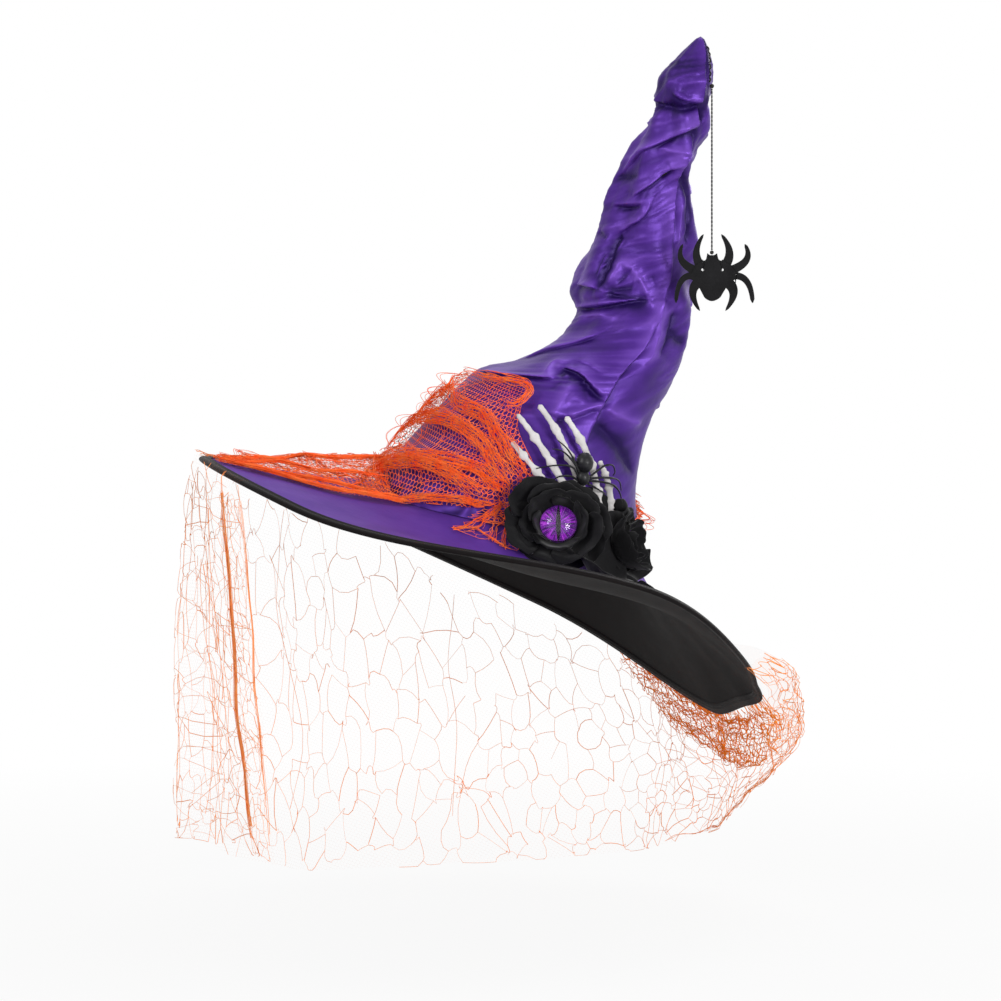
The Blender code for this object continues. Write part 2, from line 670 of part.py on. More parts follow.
def make_roses(cloth, glass, iris):
    """Two roses of nested petal rings, each with a glass eye in its cup."""
    x, z = Vector(ROSE_CENTRE) * UNIT
    front = trim_frame(Vector((x, crown_front(x, z) - ROSE_STANDOFF - ROSE_RISE, z)), ROSE_AXIS)
    side = trim_frame(Vector(SMALL_ROSE_CENTRE) * UNIT, SMALL_ROSE_AXIS)
    flowers = (("rose_eye", front, PETAL_RINGS), ("small_rose_eye", side, SMALL_PETAL_RINGS))
    for eye, frame, rings in flowers:
        floor = 0.0
        for ring in rings:
            petal_ring(ring, frame, floor, cloth)
            floor += ROSE_WALL + FIT
        make_eye(eye, frame, floor, glass, iris)


def make_leaves(cloth):
    """Cloth leaves lying on the brim under the roses."""
    for name, angle, inner, outer, half in LEAVES:
        def place(u, v, depth, angle=angle, inner=inner, outer=outer, half=half):
            share = inner + (outer - inner) * v
            radius = OPENING_RADIUS + (BRIM_RADIUS - OPENING_RADIUS) * share
            taper = math.sin(math.pi * (LEAF_BASE + (LEAF_POINT - LEAF_BASE) * v))
            width = half * max(taper, 0.0) ** LEAF_ROUNDING
            vein = LEAF_CUP * abs(2.0 * u - 1.0)
            lift = BRIM_STACK + LEAF_LIFT + vein + depth
            return brim_point(radius, math.radians(angle) + (2.0 * u - 1.0) * width / radius, lift)

        sheet_solid(name, 4, 6, place, LEAF_WALL, cloth)


def hidden_helper(made):
    made.hide_render = True
    made.display_type = 'WIRE'


def ball(name, centre, radii, segments, rings, mat):
    bm = bmesh.new()
    bmesh.ops.create_uvsphere(bm, u_segments=segments, v_segments=rings, radius=1.0)
    for vert in bm.verts:
        vert.co = Vector(a * b for a, b in zip(vert.co, radii)) + centre
    return add_object(name, bm, mat)


def tube(name, path, radius, sides, mat):
    """Closed tube of a few sides along a path, drawn to a point at each end."""
    section = [(0, 0.0)] + [(k, radius) for k in range(len(path))] + [(len(path) - 1, 0.0)]

    def place(point, angle):
        k, reach = point
        along = (path[min(k + 1, len(path) - 1)] - path[max(k - 1, 0)]).normalized()
        side = along.cross(Vector((0.0, 1.0, 0.0))).normalized()
        return path[k] + (side * math.cos(angle) + along.cross(side) * math.sin(angle)) * reach

    return ring_solid(name, section, sides, place, mat)


def on_hand(x, z, rise):
    """Point in front of the hand's face by the given rise, at x and z in units."""
    return Vector((x * UNIT, crown_front(x * UNIT, z * UNIT) - ROSE_STANDOFF - TRIM_GAP - rise, z * UNIT))


def make_plastic_spider(plastic):
    """Moulded spider on the hand: abdomen, head and eight bent legs in one piece."""
    x, z = SPIDER_AT
    belly_half = (BELLY_RADIUS, BELLY_RADIUS, BELLY_HALF_LENGTH)
    belly = ball("plastic_spider", on_hand(x, z, BELLY_RADIUS), belly_half, 12, 8, plastic)
    head_x, head_z = SPIDER_HEAD_AT
    head_centre = on_hand(head_x, head_z, HEAD_RISE)
    helpers = [ball("spider_head", head_centre, HEAD_HALF, 10, 6, plastic)]
    for number, (knee_x, knee_z, foot_x, foot_z) in enumerate(PLASTIC_LEGS):
        knee = on_hand(knee_x, knee_z, KNEE_RISE)
        foot = on_hand(foot_x, foot_z, 2.0 * PLASTIC_LEG_RADIUS)
        root = head_centre + (knee - head_centre).normalized() * (0.5 * HEAD_RISE)
        path = [root, root.lerp(knee, 0.55), knee, knee.lerp(foot, 0.5), foot]
        helpers.append(tube(f"spider_leg_{number}", path, PLASTIC_LEG_RADIUS, 5, plastic))
    for helper in helpers:
        hidden_helper(helper)
        join = belly.modifiers.new(helper.name, 'BOOLEAN')
        join.operation = 'UNION'
        join.object = helper


def make_bud(cloth):
    x, z = BUD_AT
    half = (BUD_RADIUS, BUD_RADIUS, BUD_STRETCH * BUD_RADIUS)
    ball("rose_bud", on_hand(x, z, BUD_RADIUS), half, 10, 6, cloth)


# Thread and hanging spider

def cord(name, points, mat):
    data = bpy.data.curves.new(name, 'CURVE')
    data.dimensions = '3D'
    data.bevel_depth = THREAD_RADIUS
    data.bevel_resolution = 2
    data.use_fill_caps = True
    spline = data.splines.new('POLY')
    spline.points.add(len(points) - 1)
    for slot, point in zip(spline.points, points):
        slot.co = (*point, 1.0)
    data.materials.append(mat)
    made = bpy.data.objects.new(name, data)
    bpy.context.scene.collection.objects.link(made)
    return made


def make_hanging_spider(thread, felt):
    """Thread sewn down the tip, its knot, the free thread and the felt spider on it."""
    pivot = crown_point(THREAD_PIVOT_RING, THREAD_ANGLE, -(2.0 * FIT + KNOT_RADIUS))
    top = TIP_RING - SEWN_TOP_GAP
    bottom = THREAD_PIVOT_RING + SEWN_KNOT_GAP
    rows = [top + (bottom - top) * k / (SEWN_POINTS - 1) for k in range(SEWN_POINTS)]
    sewn = [crown_point(t, THREAD_ANGLE, -(2.0 * FIT + THREAD_RADIUS)) for t in rows]
    cord("thread_sewn_end", sewn, thread)
    knot = ball("thread_knot", Vector(), (KNOT_RADIUS,) * 3, 10, 6, thread)
    knot.location = pivot
    start = KNOT_RADIUS + FIT
    fall = [start + FREE_THREAD * k / (FREE_POINTS - 1) for k in range(FREE_POINTS)]
    free = cord("spider_thread", [Vector((0.0, 0.0, -drop)) for drop in fall], thread)
    free.location = pivot

    tie = ball("spider_tie", Vector(), (TIE_RADIUS,) * 3, 10, 6, thread)
    tie.location = pivot - Vector((0.0, 0.0, start + FREE_THREAD + FIT + TIE_RADIUS))
    outline = [Vector(point) for point in SPIDER_HEAD]
    for root, bend, tip, at_root, at_tip in SPIDER_LEGS:
        def half_width(f, at_root=at_root, at_tip=at_tip):
            return at_root + (at_tip - at_root) * f ** 1.5

        outline += stroke((root, bend, tip), half_width, 6)
    outline += [Vector(point) for point in SPIDER_TAIL]
    left = [Vector((-SPIDER_LEFT_SHARE * point.x, point.y)) for point in reversed(outline[1:-1])]
    bm = plate_bmesh([point * UNIT for point in outline + left], FELT_WALL)
    bmesh.ops.translate(bm, verts=bm.verts, vec=(0.0, -0.5 * FELT_WALL, 0.0))
    spider = add_object("felt_spider", bm, felt, smooth=False)
    spider.location = tie.location - Vector((0.0, 0.0, TIE_RADIUS + FIT))
    for side in (SPIDER_EYE[0], -SPIDER_LEFT_SHARE * SPIDER_EYE[0]):
        bm = bmesh.new()
        hole = SPIDER_EYE[2] * UNIT
        bmesh.ops.create_cone(bm, cap_ends=True, segments=10, radius1=hole, radius2=hole,
                              depth=4.0 * FELT_WALL, matrix=Matrix.Rotation(0.5 * math.pi, 4, 'X'))
        cutter = add_object("spider_eye_cutter", bm, felt)
        cutter.location = spider.location + Vector((side, 0.0, SPIDER_EYE[1])) * UNIT
        hidden_helper(cutter)
        cut = spider.modifiers.new("eye_hole", 'BOOLEAN')
        cut.operation = 'DIFFERENCE'
        cut.object = cutter


def main():
    clear_scene()
    satin = material("purple_satin", (0.105, 0.036, 0.36), 0.38)
    black = material("black_cloth", (0.012, 0.011, 0.013), 0.8)
    core = material("stiffener", (0.05, 0.05, 0.05), 0.9)
    steel = material("steel_wire", (0.4, 0.4, 0.42), 0.35, 1.0)
    net = material("orange_net", (0.80, 0.09, 0.02), 0.7)
    bone = material("bone_white", (0.68, 0.65, 0.62), 0.6)
    felt = material("black_felt", (0.014, 0.013, 0.015), 0.95)
    plastic = material("black_plastic", (0.02, 0.02, 0.022), 0.35)
    glass = material("clear_glass", (0.9, 0.9, 0.95), 0.03)
    iris = material("purple_iris", (0.42, 0.02, 0.62), 0.3)
    make_crown(satin, black)
    make_sweatband(black)
    make_gather_tape(black)
    make_brim(satin, black, core, steel)
    make_band(net)
    make_drape(net)
    make_veil(net)
    make_backing(felt)
    make_hand(bone)
    make_roses(felt, glass, iris)
    make_leaves(felt)
    make_bud(felt)
    make_plastic_spider(plastic)
    make_hanging_spider(black, felt)


main()
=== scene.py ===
"""Dressing of the witch hat: crumpled satin crown and brim, lace net, rose trim and hanging spider."""
import math
import random

import bmesh
import bpy
from mathutils import Matrix, Vector, noise
from mathutils.geometry import delaunay_2d_cdt


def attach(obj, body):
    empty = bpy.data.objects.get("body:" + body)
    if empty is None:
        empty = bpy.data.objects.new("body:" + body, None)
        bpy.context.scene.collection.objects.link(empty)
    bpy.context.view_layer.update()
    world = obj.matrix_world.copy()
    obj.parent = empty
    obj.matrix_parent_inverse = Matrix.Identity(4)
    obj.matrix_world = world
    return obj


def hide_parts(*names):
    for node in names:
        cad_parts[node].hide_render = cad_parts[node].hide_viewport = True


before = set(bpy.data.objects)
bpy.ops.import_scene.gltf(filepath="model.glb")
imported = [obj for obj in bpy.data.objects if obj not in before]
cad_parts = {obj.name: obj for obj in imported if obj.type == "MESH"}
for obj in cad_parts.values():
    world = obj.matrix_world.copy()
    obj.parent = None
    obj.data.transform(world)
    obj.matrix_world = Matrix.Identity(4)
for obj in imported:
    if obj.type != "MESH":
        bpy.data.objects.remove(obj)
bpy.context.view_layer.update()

FULL_TURN = 2.0 * math.pi
MM = 0.001
FIT = 0.0003
MERGE_DISTANCE = 1e-6

# Hat shell, as its solids have it
HEAD_RADIUS = 0.0965
SWEATBAND_WALL = 0.0012
LINING_WALL = 0.001
CROWN_WALL = 0.001
BASE_ROLL = 9.5
BASE_PITCH = 7.0
# Rings of the crown upwards: centre x, y and z, half width and half depth (mm), roll and pitch (degrees)
CROWN_RINGS = (
    (21.8, -3.0, 42.2, 81.3, 86.0, 18.0, 7.0),
    (43.6, -5.0, 82.1, 67.8, 74.0, 18.4, 7.0),
    (67.2, -6.0, 102.0, 56.4, 64.0, 10.6, 6.0),
    (87.5, -6.0, 121.2, 45.6, 53.0, 11.2, 5.0),
    (97.8, -6.0, 145.5, 41.0, 44.0, 3.1, 5.0),
    (96.3, -7.0, 162.7, 43.9, 42.0, 1.4, 6.0),
    (100.6, -10.0, 185.1, 40.9, 39.0, 1.0, 10.0),
    (106.2, -16.0, 208.5, 34.3, 33.0, 4.3, 16.0),
    (109.0, -27.0, 240.2, 28.0, 27.0, -6.0, 20.0),
    (118.9, -38.0, 264.2, 23.0, 23.0, 5.4, 19.0),
    (127.2, -44.0, 278.3, 21.4, 21.0, 2.9, 16.0),
    (129.4, -50.0, 292.7, 18.1, 18.0, -3.4, 13.0),
    (130.6, -53.0, 300.4, 19.7, 19.0, -3.1, 11.0),
    (133.2, -57.0, 312.9, 18.1, 17.0, 4.6, 9.0),
    (139.1, -60.0, 328.6, 10.5, 10.0, 5.9, 7.0),
    (142.2, -62.0, 339.4, 3.2, 3.2, 5.9, 6.0),
)
TIP_RISE = 0.0025
FOLD_DEPTH = 0.0022
LINING_TOP = 3.0
SWEATBAND_RISE = 0.65
BRIM_RADIUS = 0.2235
BRIM_ROLL = math.radians(24.7)
BRIM_CENTRE = Vector((0.0096, 0.0, 0.0104))
BRIM_DROOP = 0.073
# Shapes of the brim as rows of size, angle and spread (degrees) of a hump
EDGE_HUMPS = ((0.052, 307.0, 75.0), (-0.0145, 27.0, 50.0))
FRONT_HOLLOW = ((0.024, 296.0, 75.0),)
SIDE_FALL = ((0.018, 5.0, 52.0),)
SIDE_FALL_SHARE = 0.2
CORNER_OUT = ((0.0046, -5.0, 9.0), (-0.006, -29.0, 30.0))
CORNER_UP = ((0.0048, 7.0, 14.0), (-0.0042, -38.0, 26.0))
COVER_WALL = 0.0006
CORE_WALL = 0.002
WIRE_RADIUS = 0.0009
BINDING_WALL = 0.0008
BINDING_LAP = 0.0045
BRIM_STACK = 2.0 * COVER_WALL + CORE_WALL + 2.0 * FIT
OPENING_RADIUS = HEAD_RADIUS + SWEATBAND_WALL + FIT
CROWN_BASE_RADIUS = OPENING_RADIUS + LINING_WALL + FIT + CROWN_WALL
BRIM_WIDTH = BRIM_RADIUS - OPENING_RADIUS

# Seam of the crown as ring station and angle (degrees)
SEAM = ((0.0, 294.0), (2.0, 292.0), (3.4, 282.0), (4.2, 285.0), (5.3, 293.0), (6.4, 299.0),
        (7.5, 298.0), (8.5, 301.0), (9.6, 300.0), (16.0, 300.0))


def ring_frame(roll, pitch):
    """Rotation that lays a level ring at the given roll (right side down) and pitch (front down)."""
    return Matrix.Rotation(roll, 3, 'Y') @ Matrix.Rotation(pitch, 3, 'X')


BASE_FRAME = ring_frame(math.radians(BASE_ROLL), math.radians(BASE_PITCH))
BRIM_FRAME = ring_frame(BRIM_ROLL, 0.0)
BRIM_UP = BRIM_FRAME @ Vector((0.0, 0.0, 1.0))
CROWN_SEAT = BRIM_UP * (BRIM_STACK + FIT)
BASE_RING = (*(CROWN_SEAT / MM), CROWN_BASE_RADIUS / MM, CROWN_BASE_RADIUS / MM, BASE_ROLL, BASE_PITCH)
RINGS = (BASE_RING,) + CROWN_RINGS
TIP_RING = len(RINGS) - 1


def polar(angle, radius=1.0, z=0.0):
    return Vector((radius * math.cos(angle), radius * math.sin(angle), z))


def limit(value, low=0.0, high=1.0):
    return min(max(value, low), high)


def catmull(before, start, end, after, f):
    """Smooth curve from start to end at share f, by the values before and after them too."""
    square = 2.0 * before - 5.0 * start + 4.0 * end - after
    cube = 3.0 * start - before - 3.0 * end + after
    return 0.5 * (2.0 * start + (end - before) * f + square * f * f + cube * f ** 3)


def around(row, rows):
    """The row before a row, itself and the two after it, held at the ends."""
    return [rows[limit(row + k, 0, len(rows) - 1)] for k in (-1, 0, 1, 2)]


def blend_table(table, at):
    """Smooth value at a place in (place, value) rows."""
    row = 0
    while row < len(table) - 2 and at > table[row + 1][0]:
        row += 1
    start, end = table[row][0], table[row + 1][0]
    return catmull(*(value for _, value in around(row, table)), limit((at - start) / (end - start)))


def crown_ring(t):
    """Centre, half width, half depth and frame of the crown's ring at station t."""
    row = min(int(t), TIP_RING - 1)
    columns = zip(*around(row, RINGS))
    x, y, z, wide, deep, roll, pitch = (catmull(*column, t - row) for column in columns)
    return Vector((x, y, z)) * MM, wide * MM, deep * MM, ring_frame(math.radians(roll), math.radians(pitch))


def crown_fold(t, angle):
    """Soft folds of the crown, flat at the base and at the tip."""
    fade = math.sin(math.pi * limit((t - 2.0) / 13.0))
    return FOLD_DEPTH * fade * math.cos(5.0 * angle + 0.55 * t * math.pi)


def crown_point(t, angle, out=0.0):
    centre, wide, deep, frame_at = crown_ring(t)
    grow = crown_fold(t, angle) + out
    return centre + frame_at @ Vector(((wide + grow) * math.cos(angle), (deep + grow) * math.sin(angle), 0.0))


def crown_front(x, z):
    """Depth y of the crown's front face at the given x and height z, by halving the ring range."""
    low, high = 0.0, 9.0
    for _ in range(40):
        t = 0.5 * (low + high)
        centre, wide, deep, frame_at = crown_ring(t)
        share = limit((x - centre.x) / (wide * frame_at.col[0].x), -0.98, 0.98)
        point = centre + frame_at @ Vector((wide * share, -deep * math.sqrt(1.0 - share * share), 0.0))
        if point.z < z:
            low = t
        else:
            high = t
    return point.y


def before_crown(x, z, off):
    """Point in front of the crown by the given distance."""
    return Vector((x, crown_front(x, z) - off, z))


def bump(angle, centre, spread):
    """Smooth hump from 0 through 1 at the centre angle, as wide as the spread on each side (degrees)."""
    offset = (math.degrees(angle) - centre + 180.0) % 360.0 - 180.0
    return math.cos(0.5 * math.pi * min(abs(offset) / spread, 1.0)) ** 2


def humps(angle, rows):
    return sum(size * bump(angle, centre, spread) for size, centre, spread in rows)


def brim_tuck(angle):
    """Small bend that draws the brim's right end to a blunt corner."""
    return Vector((humps(angle, CORNER_OUT), 0.0, humps(angle, CORNER_UP)))


def brim_edge(angle):
    edge = polar(angle, BRIM_RADIUS, humps(angle, EDGE_HUMPS) - BRIM_DROOP)
    return BRIM_CENTRE + BRIM_FRAME @ edge + brim_tuck(angle)


def brim_point(radius, angle, lift):
    """Point of the brim at a radius, lifted off its underside along the brim's own up direction."""
    inner = BASE_FRAME @ polar(angle, OPENING_RADIUS)
    share = (radius - OPENING_RADIUS) / BRIM_WIDTH
    fall = share / SIDE_FALL_SHARE
    dip = humps(angle, FRONT_HOLLOW) * 27.0 / 4.0 * share * (1.0 - share) ** 2
    dip += humps(angle, SIDE_FALL) * fall * math.exp(1.0 - fall)
    return inner.lerp(brim_edge(angle), share) + BRIM_UP * (lift - dip)


# Making pieces

def new_grid(columns, rows):
    """Flat grid of columns by rows faces with its u and v on a UV map."""
    bm = bmesh.new()
    bmesh.ops.create_grid(bm, x_segments=columns, y_segments=rows, size=0.5)
    layer = bm.loops.layers.uv.new("UVMap")
    for face in bm.faces:
        for loop in face.loops:
            loop[layer].uv = (loop.vert.co.x + 0.5, loop.vert.co.y + 0.5)
    return bm


def laid_grid(columns, rows, place, painted=None):
    """Grid with each corner at place(u, v), which adds a value to paint where a layer is named."""
    bm = new_grid(columns, rows)
    layer = painted and bm.verts.layers.float.new(painted)
    for vert in bm.verts:
        u, v = vert.co.x + 0.5, vert.co.y + 0.5
        if painted:
            vert.co, vert[layer] = place(u, v)
        else:
            vert.co = place(u, v)
    return bm


def ring_angle(share, count):
    """Angle of a column of a closed ring, the same for its last as for its first."""
    return FULL_TURN * (round(share * count) % count) / count


def scale_uv(bm, width, height):
    layer = bm.loops.layers.uv.active
    for face in bm.faces:
        for loop in face.loops:
            u, v = loop[layer].uv
            loop[layer].uv = (u * width, v * height)


def merge(bm):
    bmesh.ops.remove_doubles(bm, verts=bm.verts, dist=MERGE_DISTANCE)


def face_outward(bm):
    bmesh.ops.recalc_face_normals(bm, faces=bm.faces)


def corners_of(made):
    """Corners among what an operator made."""
    return [item for item in made["geom"] if isinstance(item, bmesh.types.BMVert)]


def close_ring(bm):
    merge(bm)
    face_outward(bm)


def finish_piece(name, bm, mat, replaced=(), body="hat", smooth=True):
    """One named object from a finished bmesh, riding on its body and standing for its nodes."""
    mesh = bpy.data.meshes.new(name)
    bm.to_mesh(mesh)
    bm.free()
    if smooth:
        mesh.shade_smooth()
    return settle(name, mesh, mat, replaced, body)


def add_object(name, data):
    made = bpy.data.objects.new(name, data)
    bpy.context.scene.collection.objects.link(made)
    return made


def settle(name, mesh, mat, replaced, body):
    mesh.materials.append(mat)
    made = add_object(name, mesh)
    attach(made, body)
    if replaced:
        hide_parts(*replaced)
    return made


def subdivide(made):
    step = made.modifiers.new("smooth", 'SUBSURF')
    step.levels = 1
    step.render_levels = 1


def thicken(made, wall, offset=0.0):
    step = made.modifiers.new("wall", 'SOLIDIFY')
    step.thickness = wall
    step.offset = offset


def join_grids(grids):
    """One bmesh from several."""
    whole = bmesh.new()
    whole.loops.layers.uv.new("UVMap")
    for part in grids:
        mesh = bpy.data.meshes.new("part")
        part.to_mesh(mesh)
        part.free()
        whole.from_mesh(mesh)
        bpy.data.meshes.remove(mesh)
    return whole


def threads(name, lines, mat, replaced=(), body="hat", sides=0):
    """Many round threads as one mesh: each line is a list of (point, radius)."""
    data = bpy.data.curves.new(name, 'CURVE')
    data.dimensions = '3D'
    data.bevel_depth = 1.0
    data.bevel_resolution = sides
    data.use_fill_caps = True
    for line in lines:
        spline = data.splines.new('POLY')
        spline.points.add(len(line) - 1)
        for spot, (point, radius) in zip(spline.points, line):
            spot.co = (*point, 1.0)
            spot.radius = radius
    helper = bpy.data.objects.new(name + "_line", data)
    mesh = bpy.data.meshes.new_from_object(helper)
    bpy.data.objects.remove(helper)
    mesh.name = name
    mesh.shade_smooth()
    mesh.materials.clear()
    return settle(name, mesh, mat, replaced, body)


# Materials

WAVES_PER_UNIT = 3.18


def base_material(name, colour, roughness, **sockets):
    """Material and its shader, with more of its sockets set: underscores in their names stand for spaces."""
    mat = bpy.data.materials.new(name)
    mat.use_nodes = True
    shader = mat.node_tree.nodes["Principled BSDF"]
    shader.inputs["Base Color"].default_value = (*colour, 1.0)
    shader.inputs["Roughness"].default_value = roughness
    for socket, value in sockets.items():
        shader.inputs[socket.replace("_", " ")].default_value = value
    return mat, shader


def set_socket(mat, socket, value):
    """Give a socket its value, or link it where the value is another node's output."""
    if isinstance(value, bpy.types.NodeSocket):
        mat.node_tree.links.new(value, socket)
    else:
        socket.default_value = value


def add_node(mat, kind, **values):
    """New node with its settings and its sockets: underscores in their names stand for spaces."""
    node = mat.node_tree.nodes.new(kind)
    for key, value in values.items():
        socket = node.inputs.get(key.replace("_", " "))
        if socket:
            set_socket(mat, socket, value)
        else:
            setattr(node, key, value)
    return node


def math_node(mat, operation, *values, kind='ShaderNodeMath'):
    node = add_node(mat, kind, operation=operation)
    for socket, value in zip(node.inputs, values):
        set_socket(mat, socket, value)
    return node.outputs["Value"] if operation in ('DOT_PRODUCT', 'LENGTH') else node.outputs[0]


def vector_node(mat, operation, *values):
    return math_node(mat, operation, *values, kind='ShaderNodeVectorMath')


def coordinates(mat, kind):
    return add_node(mat, 'ShaderNodeTexCoord').outputs[kind]


def painted_value(mat, name):
    return add_node(mat, 'ShaderNodeAttribute', attribute_name=name).outputs["Fac"]


def map_range(mat, value, **ends):
    return add_node(mat, 'ShaderNodeMapRange', Value=value, **ends).outputs[0]


def mix_colours(mat, factor, first, second):
    """Colour between two, which are the seventh and eighth sockets of the node."""
    node = add_node(mat, 'ShaderNodeMix', data_type='RGBA', blend_type='MIX', Factor=factor)
    set_socket(mat, node.inputs[6], first)
    set_socket(mat, node.inputs[7], second)
    return node.outputs[2]


def seen_ray(owner):
    """1 for the rays that show a thing: straight from the camera, through glass or by a mirror."""
    path = add_node(owner, 'ShaderNodeLightPath').outputs
    seen = math_node(owner, 'MAXIMUM', path["Is Camera Ray"], path["Is Transmission Ray"])
    return math_node(owner, 'MAXIMUM', seen, path["Is Glossy Ray"])


def noise_of(mat, vector, scale, detail=4.0, stretch=(1.0, 1.0, 1.0)):
    mapped = add_node(mat, 'ShaderNodeMapping', Vector=vector, Scale=stretch).outputs[0]
    return add_node(mat, 'ShaderNodeTexNoise', Vector=mapped, Scale=scale, Detail=detail).outputs["Fac"]


def colour_ramp(mat, factor, stops):
    ramp = add_node(mat, 'ShaderNodeValToRGB', Fac=factor)
    elements = ramp.color_ramp.elements
    while len(elements) < len(stops):
        elements.new(0.5)
    for element, (at, colour) in zip(elements, stops):
        element.position = at
        element.color = (*colour, 1.0)
    return ramp.outputs[0]


def vary_colour(mat, shader, factor, *stops):
    set_socket(mat, shader.inputs["Base Color"], colour_ramp(mat, factor, stops))


def shade(colour, factor):
    return tuple(part * factor for part in colour)


def vary_roughness(mat, shader, factor, low, high):
    set_socket(mat, shader.inputs["Roughness"], map_range(mat, factor, To_Min=low, To_Max=high))


def add_bump(mat, shader, distance, *heights):
    """Bump from (height, strength) pairs, the last on top."""
    below = {}
    for height, strength in heights:
        node = add_node(mat, 'ShaderNodeBump', Strength=strength, Distance=distance, Height=height, **below)
        below = {"Normal": node.outputs[0]}
    set_socket(mat, shader.inputs["Normal"], node.outputs[0])


def weave_of(mat, vector, pitch):
    """Two crossing sets of fine threads, a pitch apart in metres."""
    scale = 1.0 / (pitch * WAVES_PER_UNIT)
    waves = [add_node(mat, 'ShaderNodeTexWave', bands_direction=direction, Scale=scale, Vector=vector)
             for direction in ('X', 'Y')]
    return math_node(mat, 'MULTIPLY', *(wave.outputs["Fac"] for wave in waves))


def satin(name, dark, middle, light, metallic, specular, roughness):
    """Woven satin: sheen tinted by its own colour, streaked along the warp, with painted shade in its folds
    and painted highlight on their ridges.
    """
    mat, shader = base_material(name, middle, 0.5, Metallic=metallic, Specular_IOR_Level=specular,
                                Specular_Tint=(0.8, 0.66, 1.0, 1.0), Anisotropic=0.35, Sheen_Weight=0.03,
                                Sheen_Roughness=0.35, Sheen_Tint=(0.74, 0.58, 1.0, 1.0))
    place = coordinates(mat, "Object")
    cloudy = math_node(mat, 'SUBTRACT', noise_of(mat, place, 38.0), 0.5)
    # The fold layer brings painted shade and painted highlight; the cloudy noise adds random tone
    painted_shading_and_tone = math_node(mat, 'ADD', painted_value(mat, "fold"), math_node(mat, 'MULTIPLY', cloudy, 0.45))
    vary_colour(mat, shader, painted_shading_and_tone, (0.08, dark), (0.5, middle), (0.95, light))
    slub = noise_of(mat, coordinates(mat, "UV"), 1500.0, 2.0, (1.0, 0.04, 1.0))
    vary_roughness(mat, shader, slub, roughness - 0.08, roughness + 0.08)
    add_bump(mat, shader, 0.0006, (noise_of(mat, place, 150.0), 0.2), (slub, 0.1))
    return mat


def black_cloth(name, grey, roughness, pitch):
    mat, shader = base_material(name, (grey, grey * 0.95, grey), roughness, Specular_IOR_Level=0.05,
                                Specular_Tint=(1.0, 0.9, 0.92, 1.0), Sheen_Weight=0.02, Sheen_Roughness=0.5)
    cloudy = noise_of(mat, coordinates(mat, "Object"), 55.0)
    tint = (grey * 1.2, grey * 0.96, grey)
    vary_colour(mat, shader, cloudy, (0.3, shade(tint, 0.75)), (0.75, shade(tint, 1.3)))
    vary_roughness(mat, shader, cloudy, roughness - 0.08, roughness + 0.08)
    add_bump(mat, shader, 0.0003, (weave_of(mat, coordinates(mat, "UV"), pitch), 0.25), (cloudy, 0.1))
    return mat


def velvet(name, grey):
    mat, shader = base_material(name, (grey, grey, grey), 0.85, Specular_IOR_Level=0.14, Sheen_Weight=0.14,
                                Sheen_Roughness=0.4)
    place = coordinates(mat, "Object")
    nap = noise_of(mat, place, 700.0, 3.0)
    patch = noise_of(mat, place, 70.0)
    tint = (grey, grey * 0.98, grey * 1.08)
    vary_colour(mat, shader, patch, (0.3, shade(tint, 0.7)), (0.75, shade(tint, 1.4)))
    vary_roughness(mat, shader, nap, 0.75, 0.95)
    add_bump(mat, shader, 0.0005, (patch, 0.15), (nap, 0.3))
    return mat


def lace(name, colour, pale, pitch, thin, thick, cover=1.0):
    """Hexagonal net ground: thread width goes from thin to thick with the density painted on the cloth."""
    mat, shader = base_material(name, colour, 0.75, Sheen_Weight=0.2)
    place = coordinates(mat, "UV")
    row = (pitch, pitch * math.sqrt(3.0), 1.0)
    half = (0.5 * row[0], 0.5 * row[1], 0.0)
    slant = (0.5, 0.5 * math.sqrt(3.0), 0.0)
    reach = []
    for start in (place, vector_node(mat, 'ADD', place, half)):
        cell = vector_node(mat, 'SUBTRACT', vector_node(mat, 'MODULO', start, row), half)
        cell = vector_node(mat, 'ABSOLUTE', vector_node(mat, 'MULTIPLY', cell, (1.0, 1.0, 0.0)))
        across = vector_node(mat, 'DOT_PRODUCT', cell, (1.0, 0.0, 0.0))
        aslant = vector_node(mat, 'DOT_PRODUCT', cell, slant)
        reach.append(math_node(mat, 'MAXIMUM', across, aslant))
    gap = math_node(mat, 'SUBTRACT', 0.5 * pitch, math_node(mat, 'MINIMUM', *reach))
    density = painted_value(mat, "density")
    thread = math_node(mat, 'LESS_THAN', gap, map_range(mat, density, To_Min=thin, To_Max=thick))
    share = math_node(mat, 'MAXIMUM', density, cover)
    set_socket(mat, shader.inputs["Alpha"], math_node(mat, 'MULTIPLY', thread, share))
    patch = noise_of(mat, coordinates(mat, "Object"), 90.0, 3.0)
    vary_colour(mat, shader, patch, (0.3, colour), (0.8, pale))
    return mat


def yarn(name, colour, pale, fuzz=0.15, roughness=0.7):
    mat, shader = base_material(name, colour, roughness, Specular_IOR_Level=0.2, Sheen_Weight=fuzz,
                                Sheen_Tint=(*pale, 1.0))
    place = coordinates(mat, "Object")
    fibre = noise_of(mat, place, 900.0, 2.0)
    vary_colour(mat, shader, noise_of(mat, place, 120.0, 3.0), (0.3, colour), (0.8, pale))
    vary_roughness(mat, shader, fibre, roughness - 0.1, roughness + 0.15)
    add_bump(mat, shader, 0.0002, (fibre, 0.4))
    return mat


def moulded(name, colour, worn, roughness, grain, specular=0.5):
    mat, shader = base_material(name, colour, roughness, Specular_IOR_Level=specular)
    place = coordinates(mat, "Object")
    pits = noise_of(mat, place, grain, 5.0)
    vary_colour(mat, shader, noise_of(mat, place, 140.0, 5.0), (0.35, colour), (0.7, worn))
    vary_roughness(mat, shader, pits, roughness - 0.12, roughness + 0.12)
    add_bump(mat, shader, 0.0004, (pits, 0.25))
    return mat


